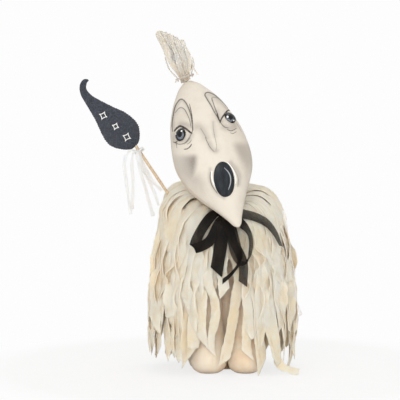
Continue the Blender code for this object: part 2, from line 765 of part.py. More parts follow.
def make_topknot():
    """Torn strips looped over on the crown, with two loose ends, held by a thread at the foot."""
    up = (TOPKNOT_MIDDLE - TOPKNOT_FOOT).normalized()
    across = up.cross(Vector((0, 1, 0))).normalized()
    deep = Vector((0, 1, 0))
    if across.x < 0:
        across = -across
    # Each loop's place across, its height as a share, its place forward and its foot's height
    spots = {
        "topknot_loop_1": (-7.6, 0.99, 0.0, 0.2),
        "topknot_loop_2": (0.4, 0.84, 0.4, 0.7),
        "topknot_loop_3": (7.9, 0.66, -0.2, 1.3),
    }
    side = [
        (0.42, 0.0, 3.2), (0.42, 0.13, 3.3), (0.85, 0.35, 5.2), (1.0, 0.6, 5.6), (1.0, 0.88, 4.2),
    ]
    rise = [(spread, share, -depth) for spread, share, depth in side]
    rise += [(0.9, 1.0, 0.0)] + side[::-1]
    for name, (aside, height, forward, foot) in spots.items():
        spine = [TOPKNOT_FOOT + up * foot * TOPKNOT_UNIT, TOPKNOT_MIDDLE, TOPKNOT_TIP]
        corners = [
            spline_at(spine, share * height)
            + (across * aside * spread + deep * (depth + forward)) * TOPKNOT_UNIT
            for spread, share, depth in rise
        ]
        centres = along_curve(corners, 15)
        widths = [
            TOPKNOT_STRIP_WIDTH * (0.42 + 0.5 * smooth_step(min(k, 14 - k) / 4)) for k in range(15)
        ]
        band(name, centres, [across] * 15, widths, CLOTH, "muslin")
    tie_half_width = TOPKNOT_TIE_DEPTH * TOPKNOT_TIE_STRETCH
    tucked = (tie_half_width - THREAD - 2 * CLEARANCE - CLOTH / 2) / TOPKNOT_UNIT
    loose = {
        "topknot_end_1": ((-13.2, -3, 30), (-12.8, -2, 18), (-10, -1, 11), (-tucked, 0, 6.5),
                          (-tucked, 0, 2.5)),
        "topknot_end_2": ((13.0, -3, 22), (12.6, -2, 14), (10, -1, 10.5), (tucked, 0, 6.5),
                          (tucked, 0, 2.5)),
    }
    for name, offsets in loose.items():
        corners = [
            TOPKNOT_FOOT + (across * x + deep * y + up * z) * TOPKNOT_UNIT for x, y, z in offsets
        ]
        centres = along_curve(corners, 7)
        band(name, centres, [deep] * 7, [2.6 * TOPKNOT_UNIT] * 7, CLOTH, "muslin")
    tie_centre = TOPKNOT_FOOT + up * 5.0 * TOPKNOT_UNIT
    torus_solid(
        "topknot_tie", tie_centre, up, TOPKNOT_TIE_DEPTH, THREAD, "muslin", TOPKNOT_TIE_STRETCH
    )


def make_bow():
    """Sheer ribbon round the neck, tied at the throat with two loops and four tails."""
    knot_rings = []
    sides = 12
    for k in range(1, 6):
        lift = -math.cos(math.pi * k / 6)
        size = math.sqrt(1 - lift**2)
        centre = KNOT_CENTRE + Vector((0, 0, lift * KNOT_SIZE.z / 2))
        knot_rings.append(
            ring_points(centre, KNOT_SIZE.x / 2 * size, KNOT_SIZE.y / 2 * size, sides)
        )
    top = KNOT_CENTRE + Vector((0, 0, KNOT_SIZE.z / 2))
    bottom = KNOT_CENTRE - Vector((0, 0, KNOT_SIZE.z / 2))
    bow = loft("neck_bow", knot_rings, "organza", bottom, top)
    pieces = []
    for name, (start, route, finish_at, directions, share) in bow_runs().items():
        points = [KNOT_CENTRE + Vector(corner) * BOW_UNIT for corner in start]
        for x, z, off in route:
            place = KNOT_CENTRE + Vector((x, 0, z)) * BOW_UNIT
            points.append(over_robe(place.x, place.z, off * BOW_UNIT))
        points += [KNOT_CENTRE + Vector(corner) * BOW_UNIT for corner in finish_at]
        count = len(points) + 2
        turns = [Vector(direction) for direction in directions]
        centres = [spline_at(points, k / (count - 1)) for k in range(count)]
        turned = [spline_at(turns, k / (count - 1)) for k in range(count)]
        widths = [RIBBON_WIDTH * share] * count
        pieces.append(band(name, centres, turned, widths, RIBBON, "organza"))
    join_solids(bow, pieces)
    return bow


def over_robe(x, z, off):
    """The point in front of the robe at this place across and up, this far off its outermost
    layer of strips."""
    lift = LAYER_STEP * (len(LAYER_ORDER) - 1) + (CLOTH + RIBBON) / 2 + RIBBON_GAP + off
    angle, fall = 0.0, SHOULDER_FALL
    for _ in range(40):
        point = robe_point(angle, fall, lift)
        angle += (x - point.x) / math.hypot(point.x, point.y)
        fall = max(fall + point.z - z, SHOULDER_FALL / 2)
    return point


def bow_runs():
    """Each run of ribbon: its start at the knot, its route over the robe as across, up and
    stand-off, its end at the knot, its width's direction at each of these places, and the share
    of the ribbon's width that it keeps where it is bunched. All in steps of BOW_UNIT."""
    return {
        "left_loop": (
            ((-1, -1, -0.5), (-11.5, -8, -3.6)),
            ((-19.6, -14.2, 6.5), (-27.3, -27.8, 7.5), (-29.3, -33, 6.5), (-29.6, -35.2, 4.2),
             (-27.3, -33.6, 2), (-22, -29.8, 1.3), (-15.4, -24.8, 1.3)),
            ((-7.5, -11.7, -16.6), (-3.5, -7.7, -8.6), (-0.5, -1, -1)),
            ((0.67, -0.6, -0.44), (0.75, -0.4, -0.5), (0.82, 0, -0.57), (0.8, 0, -0.6),
             (0.75, 0, -0.66), (0.7, 0, -0.71), (0.66, 0, -0.75), (0.64, 0, -0.77),
             (0.66, 0, -0.75), (0.75, -0.2, -0.65), (0.8, -0.3, -0.5), (0.8, -0.3, -0.5)),
            0.95,
        ),
        "right_loop": (
            ((1, -1, -1), (2.5, -6.7, -5.1)),
            ((3.8, -16.1, 6.5), (8.6, -31.4, 8), (11.8, -41.8, 8), (14.4, -48.6, 7.4),
             (19.2, -49.2, 6.4), (22.8, -43, 5.6), (24.5, -34, 5.2), (23.7, -25.6, 5),
             (20.9, -19.6, 4.4)),
            ((16.9, -12.2, -14.8), (11.4, -10.2, -9.6), (2, -1.5, -1)),
            ((0.85, 0.45, 0.33), (0.9, 0.3, 0.35), (0.93, 0, 0.36), (0.93, 0, 0.36),
             (0.86, 0.42, 0.29), (0.35, 0.87, 0.36), (-0.1, 0.98, 0.14), (0, 1, 0),
             (0.1, 1, 0), (0.2, 0.95, 0.1), (0.3, 0.85, 0.25), (0.45, 0.75, 0.4),
             (0.5, 0.65, 0.45), (0.5, 0.6, 0.5)),
            0.8,
        ),
        "middle_tail": (
            ((0, -1.5, -1), (-0.7, -7, -5)),
            ((-3, -15.3, 3.4), (-4.7, -29.8, 2.2), (-9.6, -60, 1.2)),
            (),
            ((1, 0, 0.05), (1, 0, 0.05), (1, 0, 0), (1, 0.1, -0.05), (1, 0.1, -0.1)),
            1.15,
        ),
        "right_tail": (
            ((2, 0, 0), (10, -3, -1.5), (17.3, -5.5, -4)),
            ((27.8, -6.8, 2), (39.8, -12.9, 1.5), (48.9, -23.6, 1.5), (55, -36.7, 1.5)),
            (),
            ((0, 0.82, 0.57), (0, 0.75, 0.65), (0.1, 0.4, 0.9), (0.15, 0.2, 0.95),
             (0.3, 0.1, 0.9), (0.55, 0.45, 0.6), (0.4, 0.8, 0.35)),
            0.85,
        ),
        "low_tail": (
            ((1.7, -1.2, -1.4), (2.3, -6.3, -5.6)),
            ((5.8, -27, 1), (13.6, -42.5, 1), (17, -54.2, 1), (16.3, -71.5, 1)),
            (),
            ((1, 0.15, 0.1), (1, 0.15, 0.1), (1, 0.1, 0.1), (1, 0.05, 0), (1, 0, 0), (1, 0, 0)),
            0.75,
        ),
        "crossed_tail": (
            ((0.9, -0.5, -0.8), (3.4, -7.7, -4.9)),
            ((6.8, -26.9, 2.6), (13.1, -47.2, 3), (6.7, -59.6, 3), (-3.6, -68.8, 2)),
            (),
            ((0.9, 0.1, 0.3), (0.9, 0.1, 0.3), (0.9, 0.2, 0.3), (0.6, 0.6, 0.2),
             (0.3, 0.8, -0.5), (0.5, 0.6, -0.6)),
            0.5,
        ),
        "neck_left": (
            ((-0.6, 0.1, 0.2), (-9.5, 2.8, 1.4), (-19.1, 25.8, 13.4), (-21.9, 42.3, 19.4),
             (-14.5, 56.8, 23.4), (-3, 62.3, 24.4)),
            (),
            (),
            ((0.1, 0.8, 0.6), (0.2, 0.1, 1), (0.2, 0.1, 1), (0.15, 0, 1), (0.1, -0.1, 1),
             (0, -0.1, 1)),
            0.5,
        ),
        "neck_right": (
            ((0.5, 0.4, 0.1), (6.5, 2.9, -0.7), (12.3, 25.8, 10.9), (14.9, 42.3, 17.4),
             (7.5, 56.8, 22.9), (-4, 62.3, 24.4)),
            (),
            (),
            ((-0.1, 0.8, 0.6), (-0.2, 0.1, 1), (-0.2, 0.1, 1), (-0.15, 0, 1), (-0.1, -0.1, 1),
             (0, -0.1, 1)),
            0.5,
        ),
    }


def main():
    for old in list(bpy.data.objects):
        bpy.data.objects.remove(old)
    body = make_body()
    for name, side in (("leg_left", -1), ("leg_right", 1)):
        make_leg(name, LEG_MIDDLE_X + side * LEG_SPACING / 2)
    make_head()
    eyes = (("eye_left", LEFT_EYE_SHARE, -EYE_ANGLE), ("eye_right", RIGHT_EYE_SHARE, EYE_ANGLE))
    for name, share, angle in eyes:
        make_pad(
            name, share, angle, EYE_DIAMETER / 2, EYE_DIAMETER / 2, EYE_RISE, "eye_bead", 16, 3,
        )
    make_pad(
        "mouth", MOUTH_SHARE, 0.0, MOUTH_HALF_WIDTH, MOUTH_HALF_LENGTH, MOUTH_RISE,
        "black_paint", 20, 3, MOUTH_LEAN,
    )
    for number, planned in enumerate(strip_plan()):
        make_strip(f"strip_{number + 1:02d}", *planned)
    make_sign()
    make_stick(body)
    make_streamers()
    make_topknot()
    make_bow()


main()
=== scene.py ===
"""Looks of the cloth ghost doll: muslin, painted cloth, organza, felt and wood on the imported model.

Metres, +Z up; the doll faces -Y. Every new piece is a surface worked out with numpy.
"""
import math
import random

import bpy
import numpy as np
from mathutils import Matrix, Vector


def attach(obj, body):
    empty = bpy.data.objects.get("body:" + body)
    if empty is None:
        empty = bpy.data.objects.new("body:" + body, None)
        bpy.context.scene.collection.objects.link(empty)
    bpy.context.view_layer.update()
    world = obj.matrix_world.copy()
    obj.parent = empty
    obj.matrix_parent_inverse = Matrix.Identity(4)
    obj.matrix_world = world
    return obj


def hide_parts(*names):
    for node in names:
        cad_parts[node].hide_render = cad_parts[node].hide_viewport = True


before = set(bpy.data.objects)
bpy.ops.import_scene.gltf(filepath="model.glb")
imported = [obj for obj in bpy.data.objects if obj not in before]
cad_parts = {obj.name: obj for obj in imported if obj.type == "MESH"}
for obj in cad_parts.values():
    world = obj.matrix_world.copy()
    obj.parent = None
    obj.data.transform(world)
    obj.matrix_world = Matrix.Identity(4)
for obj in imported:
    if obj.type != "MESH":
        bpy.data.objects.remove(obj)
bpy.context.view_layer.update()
MM = 0.001


# Arithmetic on whole arrays


def step(t):
    """Smooth climb from 0 to 1: 3t^2 - 2t^3 of t held between 0 and 1."""
    t = np.clip(t, 0.0, 1.0)
    return t * t * (3 - 2 * t)


def unit(v):
    """Vectors divided by their own lengths."""
    return v / np.maximum(np.linalg.norm(v, axis=-1, keepdims=True), 1e-12)


def curve(corners, count):
    """Evenly spaced points on the Catmull-Rom cubic through these corners."""
    c = np.asarray(corners, float)
    place = np.linspace(0, len(c) - 1, 40 * len(c))
    i = np.minimum(place.astype(int), len(c) - 2)
    t = (place - i)[:, None]
    p0, p1, p2 = c[np.maximum(i - 1, 0)], c[i], c[i + 1]
    p3 = c[np.minimum(i + 2, len(c) - 1)]
    fine = 0.5 * (2 * p1 + (p2 - p0) * t + (2 * p0 - 5 * p1 + 4 * p2 - p3) * t**2
                  + (3 * p1 - p0 - 3 * p2 + p3) * t**3)
    run = np.r_[0, np.cumsum(np.linalg.norm(np.diff(fine, axis=0), axis=1))]
    goal = np.linspace(0, run[-1], count)
    return np.stack([np.interp(goal, run, fine[:, k]) for k in range(c.shape[1])], axis=1)


def smooth_table(pairs, at):
    """Values at these places in a table of pairs, on cubics that keep the table's mean slopes."""
    x, y = np.array(pairs, float).T
    slope = np.empty_like(y)
    slope[1:-1] = (y[2:] - y[:-2]) / (x[2:] - x[:-2])
    slope[0], slope[-1] = (y[1] - y[0]) / (x[1] - x[0]), (y[-1] - y[-2]) / (x[-1] - x[-2])
    at = np.clip(at, x[0], x[-1])
    i = np.clip(np.searchsorted(x, at, side="right") - 1, 0, len(x) - 2)
    gap = x[i + 1] - x[i]
    t = (at - x[i]) / gap
    rise = gap * (slope[i] * (t - 2 * t**2 + t**3) + slope[i + 1] * (t**3 - t**2))
    return rise + y[i] + (y[i + 1] - y[i]) * (3 * t**2 - 2 * t**3)


def ripple(place, chance, waves, low, high):
    """A sum of sines of random pace between low and high and random start, about -1 to 1."""
    total = np.zeros_like(place)
    for _ in range(waves):
        pace, start = chance.uniform(low, high), chance.uniform(0, 2 * math.pi)
        total = total + np.sin(place * pace * 2 * math.pi + start)
    return total / math.sqrt(waves * 2)


def places_across(columns):
    """Places from -1 to 1 across a strip, closer together towards its two edges."""
    x = np.linspace(-1, 1, columns)
    return np.sign(x) * (1 - (1 - np.abs(x)) ** 2.2)


def torn_edges(t, chance, waves, low, high, size):
    """How far a torn strip's two edges stand in or out at places t: two ripples times size."""
    return np.stack([ripple(t, chance, waves, low, high) for _ in range(2)], axis=1) * size


def directions(points):
    """Unit directions along a row of points."""
    return unit(np.gradient(points, axis=0))


def cloth_axes(centres, across):
    """Unit directions along a strip, across it at right angles to that, and out of its face."""
    along = directions(centres)
    side = unit(across - along * (across * along).sum(axis=1, keepdims=True))
    return along, side, np.cross(along, side)


# Meshes

WEAVE_SHIFT = 0.137  # how far in metres the weave starts further along for each next grid


def mesh_of(name, points, faces, material, maps=None, uv=None):
    """A piece from points and a list of faces, with float maps on its points and a UV map in
    metres."""
    mesh = bpy.data.meshes.new(name)
    mesh.from_pydata(points.reshape(-1, 3).tolist(), [], faces)
    for key, values in (maps or {}).items():
        layer = mesh.attributes.new(key, "FLOAT", "POINT")
        layer.data.foreach_set("value", np.asarray(values, np.float32).ravel())
    if uv is not None:
        corner = np.zeros(len(mesh.loops), np.int32)
        mesh.loops.foreach_get("vertex_index", corner)
        layer = mesh.uv_layers.new(name="cloth")
        layer.data.foreach_set("uv", uv.reshape(-1, 2)[corner].astype(np.float32).ravel())
    mesh.polygons.foreach_set("use_smooth", np.full(len(mesh.polygons), True))
    mesh.materials.append(material)
    mesh.validate()
    made = bpy.data.objects.new(name, mesh)
    bpy.context.scene.collection.objects.link(made)
    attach(made, "root")
    return made


def grid_faces(rows, columns, wrap=False, first=0):
    """Quads of a grid of points stored row by row; wrap joins the last column to the first."""
    r, c = np.meshgrid(np.arange(rows - 1), np.arange(columns if wrap else columns - 1),
                       indexing="ij")
    d = (c + 1) % columns
    quads = np.stack([r * columns + c, r * columns + d, (r + 1) * columns + d,
                      (r + 1) * columns + c], axis=-1)
    return quads.reshape(-1, 4) + first


def grid_uv(points):
    """Distances across and along a grid of points, in metres, for weave that follows the cloth."""
    steps_across = np.diff(points, axis=1, prepend=points[:, :1])
    steps_along = np.diff(points, axis=0, prepend=points[:1])
    across = np.cumsum(np.linalg.norm(steps_across, axis=2), axis=1)
    along = np.cumsum(np.linalg.norm(steps_along, axis=2), axis=0).mean(axis=1, keepdims=True)
    return np.stack([across - across[:, -1:] / 2, along + 0 * across], axis=-1)


def closed_skin(name, rings, material, maps=None, start=None, end=None):
    """A closed surface through rings (rows, around, 3) with a pole at each end, faces outward.
    Each pole is the end ring's middle unless it is given."""
    rows, around, _ = rings.shape
    start = rings[0].mean(axis=0) if start is None else np.asarray(start, float)
    end = rings[-1].mean(axis=0) if end is None else np.asarray(end, float)
    points = np.concatenate([rings.reshape(-1, 3), start[None], end[None]])
    quads = grid_faces(rows, around, wrap=True)
    k = np.arange(around)
    n = (k + 1) % around
    low = np.stack([n, k, np.full(around, rows * around)], axis=1)
    high = np.stack([(rows - 1) * around + k, (rows - 1) * around + n,
                     np.full(around, rows * around + 1)], axis=1)
    middle = points[quads].mean(axis=1)
    normal = np.cross(points[quads[:, 2]] - points[quads[:, 0]],
                      points[quads[:, 3]] - points[quads[:, 1]])
    if (middle * normal).sum() < 0:  # the volume, six times over
        quads, low, high = quads[:, ::-1], low[:, ::-1], high[:, ::-1]
    faces = quads.tolist() + low.tolist() + high.tolist()
    full = {}
    for key, values in (maps or {}).items():
        values = np.asarray(values, float).reshape(rows, around)
        full[key] = np.concatenate([values.ravel(), [values[0].mean(), values[-1].mean()]])
    return mesh_of(name, points, faces, material, full)


def cloth_sheets(name, grids, thickness, material, maps=None):
    """One piece of cloth from grids of points (rows, columns, 3), given a wall by Solidify."""
    points, faces, uvs, first = [], [], [], 0
    for grid in grids:
        rows, columns, _ = grid.shape
        points.append(grid.reshape(-1, 3))
        uvs.append(grid_uv(grid).reshape(-1, 2) + np.array([0.0, WEAVE_SHIFT * len(points)]))
        faces.append(grid_faces(rows, columns, first=first))
        first += rows * columns
    made = mesh_of(name, np.concatenate(points), np.concatenate(faces).tolist(), material, maps,
                   np.concatenate(uvs))
    wall = made.modifiers.new("wall", "SOLIDIFY")
    wall.thickness = thickness
    wall.offset = 0.0
    return made


def plain_cloth(rings, tan_and_shade):
    """The muslin's maps for a closed piece: one even tan_and_shade value and no frayed edge."""
    return {"tan_and_shade": np.full(rings.shape[:2], tan_and_shade), "fray": np.zeros(rings.shape[:2])}


def ribbon_grid(centres, across, widths, columns=7, cup=0.0, edge=None):
    """A strip's grid: each row's centre plus s times half its width along across, s from -1 to 1,
    raised by cup times 1 - s^2 along the row's normal, and each edge moved in or out by edge."""
    _, side, up = cloth_axes(centres, across)
    s = places_across(columns)[None, :, None]
    half = (np.asarray(widths, float) / 2)[:, None, None]
    cup = np.broadcast_to(np.asarray(cup, float), (len(centres),))[:, None, None]
    reach = s * half
    if edge is not None:
        reach = s * (half + np.where(s < 0, edge[:, 0, None, None], edge[:, 1, None, None]))
    return centres[:, None] + side[:, None] * reach + up[:, None] * cup * (1 - s**2)


def tube(path, radius, sides=10, squash=1.0):
    """Rings round a path: centre plus radius times (cos a, sin a) in a frame that never twists."""
    along = directions(path)
    guide = np.array([0.0, 1.0, 0.0]) if abs(along[0, 1]) < 0.9 else np.array([1.0, 0.0, 0.0])
    side = np.empty_like(along)
    for k in range(len(path)):
        guide = guide - along[k] * guide.dot(along[k])
        guide = guide / np.linalg.norm(guide)
        side[k] = guide
    up = np.cross(along, side)
    turn = np.linspace(0, 2 * math.pi, sides, endpoint=False)
    radius = np.broadcast_to(np.asarray(radius, float), (len(path),))[:, None, None]
    return path[:, None] + radius * (side[:, None] * np.cos(turn)[None, :, None] * squash
                                     + up[:, None] * np.sin(turn)[None, :, None])


# Materials


def srgb(red, green, blue):
    """A colour given as it looks on a screen, 0 to 255, as the linear colour of a shader."""
    c = np.array([red, green, blue]) / 255.0
    linear = np.where(c <= 0.04045, c / 12.92, ((c + 0.055) / 1.055) ** 2.4)
    return (*linear.tolist(), 1.0)


class Board:
    """Adds nodes to a tree: an input is a value, or a socket to link from."""

    def __init__(self, tree):
        self.tree = tree

    def add(self, kind, inputs=(), **settings):
        node = self.tree.nodes.new(kind)
        for key, value in settings.items():
            setattr(node, key, value)
        for key, value in dict(inputs).items():
            if isinstance(value, bpy.types.NodeSocket):
                self.tree.links.new(value, node.inputs[key])
            else:
                node.inputs[key].default_value = value
        return node

    def math(self, operation, a, b=0.0, c=0.0):
        return self.add("ShaderNodeMath", {0: a, 1: b, 2: c}, operation=operation).outputs[0]

    def mix(self, share, a, b, blend="MIX"):
        node = self.add("ShaderNodeMix", {0: share, 6: a, 7: b}, data_type="RGBA", blend_type=blend)
        return node.outputs[2]

    def span(self, value, low, high, to_low=0.0, to_high=1.0):
        node = self.add("ShaderNodeMapRange", {0: value, 1: low, 2: high, 3: to_low, 4: to_high},
                        interpolation_type="SMOOTHSTEP")
        return node.outputs[0]

    def noise(self, vector, scale, detail=4.0, rough=0.55, stretch=None):
        if stretch is not None:
            vector = self.add("ShaderNodeMapping", {"Vector": vector, "Scale": stretch}).outputs[0]
        node = self.add("ShaderNodeTexNoise",
                        {"Vector": vector, "Scale": scale, "Detail": detail, "Roughness": rough})
        return node.outputs[0]

    def map(self, name):
        return self.add("ShaderNodeAttribute", attribute_name=name).outputs["Fac"]

    def place(self):
        return self.add("ShaderNodeTexCoord").outputs["Object"]

    def cloth(self):
        return self.add("ShaderNodeUVMap", uv_map="cloth").outputs[0]

    def link(self, value, node, socket):
        self.tree.links.new(value, node.inputs[socket])

    def bump(self, shader, height, strength, distance):
        node = self.add("ShaderNodeBump",
                        {"Height": height, "Strength": strength, "Distance": distance})
        self.link(node.outputs[0], shader, "Normal")

    def finish(self, shader, colour, rough):
        self.link(colour, shader, "Base Color")
        self.link(rough, shader, "Roughness")


def new_group(name, inputs, outputs):
    """An empty shader group with these named sockets, its board, its input and output nodes."""
    tree = bpy.data.node_groups.new(name, "ShaderNodeTree")
    for key, kind, value in inputs:
        socket = tree.interface.new_socket(key, in_out="INPUT", socket_type=kind)
        if value is not None:
            socket.default_value = value
    for key, kind in outputs:
        tree.interface.new_socket(key, in_out="OUTPUT", socket_type=kind)
    board = Board(tree)
    return tree, board, board.add("NodeGroupInput"), board.add("NodeGroupOutput")


def weave_group():
    """Plain weave: threads cross as sin(u) sin(v), each row of threads rounded as |sin|, with
    slubs where a slow noise swells a thread."""
    tree, board, given, out = new_group(
        "plain_weave",
        (("Cloth", "NodeSocketVector", None), ("Threads per metre", "NodeSocketFloat", 2200.0),
         ("Slub", "NodeSocketFloat", 0.5)),
        (("Height", "NodeSocketFloat"), ("Gaps", "NodeSocketFloat")))
    part = board.add("ShaderNodeSeparateXYZ", {0: given.outputs["Cloth"]})
    pace = board.math("MULTIPLY", given.outputs["Threads per metre"], math.pi)
    u = board.math("MULTIPLY", part.outputs[0], pace)
    v = board.math("MULTIPLY", part.outputs[1], pace)
    over = board.math("MULTIPLY", board.math("SINE", u), board.math("SINE", v))
    thread_u = board.math("ABSOLUTE", board.math("SINE", u))
    thread_v = board.math("ABSOLUTE", board.math("SINE", v))
    round_threads = board.math("MULTIPLY", thread_u, thread_v)
    slub = board.noise(given.outputs["Cloth"], 420.0, 3.0, 0.6, stretch=(1.0, 0.12, 1.0))
    swell = board.math("MULTIPLY", slub, given.outputs["Slub"])
    height = board.math("ADD", board.math("MULTIPLY_ADD", over, 0.35, round_threads), swell)
    gaps = board.span(round_threads, 0.0, 0.35, 1.0, 0.0)
    board.link(height, out, "Height")
    board.link(gaps, out, "Gaps")
    return tree


def stain_group():
    """Tea stain: a pale cloth that turns to its middle and deep colours where two noises of
    different size agree, with fine fleck on top; the Stain and shade input also turns it towards
    the deep colour, for the cloth's own stain and for painted shade."""
    tree, board, given, out = new_group(
        "tea_stain",
        (("Place", "NodeSocketVector", None), ("Pale", "NodeSocketColor", None),
         ("Middle", "NodeSocketColor", None), ("Deep", "NodeSocketColor", None),
         ("Size", "NodeSocketFloat", 40.0), ("Depth", "NodeSocketFloat", 0.0)),
        (("Color", "NodeSocketColor"), ("Mask", "NodeSocketFloat")))
    wide = board.noise(given.outputs["Place"], given.outputs["Size"], 3.0, 0.5)
    finer_size = board.math("MULTIPLY", given.outputs["Size"], 5.3)
    fine = board.noise(given.outputs["Place"], finer_size, 4.0, 0.65)
    both = board.math("MULTIPLY_ADD", fine, 0.45, board.math("MULTIPLY", wide, 0.75))
    middle = board.span(both, 0.5, 0.74)
    deep = board.math("MAXIMUM", board.span(both, 0.72, 0.95, 0.0, 0.6), given.outputs["Depth"])
    first = board.mix(middle, given.outputs["Pale"], given.outputs["Middle"])
    board.link(board.mix(deep, first, given.outputs["Deep"]), out, "Color")
    board.link(both, out, "Mask")
    return tree


WEAVE = weave_group()
STAIN = stain_group()
STICK_LEAN = math.radians(33.3)


def blank_material(name, roughness, **values):
    """A material with a Principled shader whose plain sockets are set, and its board."""
    made = bpy.data.materials.new(name)
    made.use_nodes = True
    shader = made.node_tree.nodes["Principled BSDF"]
    shader.inputs["Roughness"].default_value = roughness
    for key, value in values.items():
        shader.inputs[key.replace("_", " ")].default_value = value
    return made, Board(made.node_tree), shader


def muslin_material(name, pale, middle, deep, threads, crease=0.5, size=26.0):
    """Torn muslin: stained cloth with its weave, soft creases along its length in bump and in
    painted crease shade, darker for its stain and for painted shade where the tan_and_shade map
    says, and paler frayed edges."""
    made, board, shader = blank_material(name, 0.92, Sheen_Weight=0.12, Sheen_Roughness=0.6,
                                         Specular_IOR_Level=0.12, Subsurface_Weight=0.6,
                                         Subsurface_Radius=(1.0, 0.8, 0.62),
                                         Subsurface_Scale=2.5 * MM)
    place = board.place()
    cloth = board.cloth()
    # tan_and_shade holds the cloth's own stain and painted shade on deeper layers, creases and
    # undersides
    tan_and_shade, fray = board.map("tan_and_shade"), board.map("fray")
    stain = board.add("ShaderNodeGroup", {"Place": place, "Pale": pale, "Middle": middle,
                                          "Deep": deep, "Size": size, "Depth": tan_and_shade},
                      node_tree=STAIN)
    weave = board.add("ShaderNodeGroup", {"Cloth": cloth, "Threads per metre": threads,
                                          "Slub": 0.6}, node_tree=WEAVE)
    lines = board.noise(cloth, 260.0, 3.0, 0.6, stretch=(1.0, 0.07, 1.0))
    # painted crease shade: streaks along the cloth turn towards the deep colour, by up to crease
    crease_shade = board.span(lines, 0.57, 0.74, 0.0, crease)
    colour = board.mix(crease_shade, stain.outputs["Color"], deep)
    colour = board.mix(board.math("MULTIPLY", weave.outputs["Gaps"], 0.08), colour, deep)
    colour = board.mix(board.math("MULTIPLY", fray, 0.55), colour, pale)
    height = board.math("MULTIPLY_ADD", lines, 2.2, weave.outputs["Height"])
    rumple = board.noise(place, 95.0, 4.0, 0.62)
    height = board.math("MULTIPLY_ADD", rumple, 3.4, height)
    board.bump(shader, height, 0.5, 0.0005)
    board.finish(shader, colour, board.span(stain.outputs["Mask"], 0.4, 0.9, 0.86, 0.97))
    return made


def organza_material():
    """Sheer woven ribbon: black threads over open gaps, denser at the selvedge, where the edge map
    is one, and where the folded map says that it lies double."""
    made, board, shader = blank_material("black_organza", 0.5, Sheen_Weight=0.04,
                                         Sheen_Roughness=0.35, Specular_IOR_Level=0.08)
    cloth = board.cloth()
    edge, folded = board.map("edge"), board.map("folded")
    weave = board.add("ShaderNodeGroup", {"Cloth": cloth, "Threads per metre": 2600.0,
                                          "Slub": 0.3}, node_tree=WEAVE)
    slow = board.noise(cloth, 130.0, 3.0, 0.6, stretch=(1.0, 0.2, 1.0))
    colour = board.mix(board.span(slow, 0.35, 0.75), srgb(17, 16, 16), srgb(46, 38, 31))
    board.finish(shader, colour, board.span(slow, 0.3, 0.8, 0.36, 0.55))
    open_cloth = board.span(slow, 0.3, 0.8, 0.55, 0.67)
    selvedge = board.math("MAXIMUM", board.span(edge, 0.8, 0.97, 0.0, 0.62), folded)
    alpha = board.math("MAXIMUM", open_cloth, board.math("MULTIPLY", selvedge, 0.97))
    alpha = board.math("SUBTRACT", alpha, board.math("MULTIPLY", weave.outputs["Gaps"], 0.05))
    board.link(alpha, shader, "Alpha")
    height = board.math("MULTIPLY_ADD", slow, 1.5, weave.outputs["Height"])
    board.bump(shader, height, 0.35, 0.0002)
    return made


def painted_material():
    """Painted cloth of the head: cream paint with age mottling, airbrushed grey where the shade
    map is one, light brown where the warm map is, brush ink and white over it, and the weave
    under all."""
    made, board, shader = blank_material("painted_head_cloth", 0.66, Specular_IOR_Level=0.16)
    place = board.place()
    mottled = board.add("ShaderNodeGroup", {
        "Place": place, "Pale": srgb(222, 215, 203), "Middle": srgb(217, 208, 195),
        "Deep": srgb(206, 194, 179), "Size": 30.0, "Depth": 0.0}, node_tree=STAIN)
    speckle = board.noise(place, 900.0, 5.0, 0.7)
    brushed = board.noise(place, 520.0, 4.0, 0.6)
    grey = board.math("MULTIPLY", board.map("shade"), board.span(speckle, 0.2, 0.75, 0.78, 1.0))
    colour = board.mix(board.math("MULTIPLY", board.map("warm"), 0.8), mottled.outputs["Color"],
                       srgb(214, 196, 172))
    colour = board.mix(grey, colour, srgb(122, 113, 107))
    ink = board.math("MULTIPLY", board.span(board.map("ink"), 0.1, 0.85),
                     board.span(brushed, 0.25, 0.6, 0.72, 1.0))
    colour = board.mix(ink, colour, srgb(54, 50, 47))
    colour = board.mix(board.span(board.map("white"), 0.15, 0.8), colour, srgb(250, 249, 246))
    board.finish(shader, colour, board.span(speckle, 0.3, 0.7, 0.52, 0.7))
    threads = board.noise(place, 1500.0, 2.0, 0.5)
    height = board.math("MULTIPLY_ADD", brushed, 0.8, threads)
    board.bump(shader, height, 0.16, 0.0003)
    return made


def eye_material():
    """Painted glass eye: white with a grey rim, a dark ringed iris with a blue-grey crescent, and
    painted highlights, all from maps, under a clear gloss coat."""
    made, board, shader = blank_material("painted_glass_eye", 0.2, Specular_IOR_Level=0.15,
                                         Coat_Weight=0.25, Coat_Roughness=0.05)
    place = board.place()
    vein = board.noise(place, 900.0, 4.0, 0.6)
    colour = board.mix(board.span(vein, 0.4, 0.8), srgb(238, 232, 224), srgb(214, 204, 196))
    ray = board.noise(place, 1600.0, 3.0, 0.7)
    colour = board.mix(board.map("rim"), colour, srgb(14, 15, 18))
    blue = board.mix(board.span(ray, 0.35, 0.7), srgb(72, 79, 90), srgb(146, 152, 162))
    colour = board.mix(board.map("crescent"), colour, blue)
    colour = board.mix(board.map("pupil"), colour, srgb(9, 9, 11))
    colour = board.mix(board.map("glint"), colour, srgb(252, 252, 252))
    board.finish(shader, colour, board.span(vein, 0.3, 0.8, 0.08, 0.18))
    return made


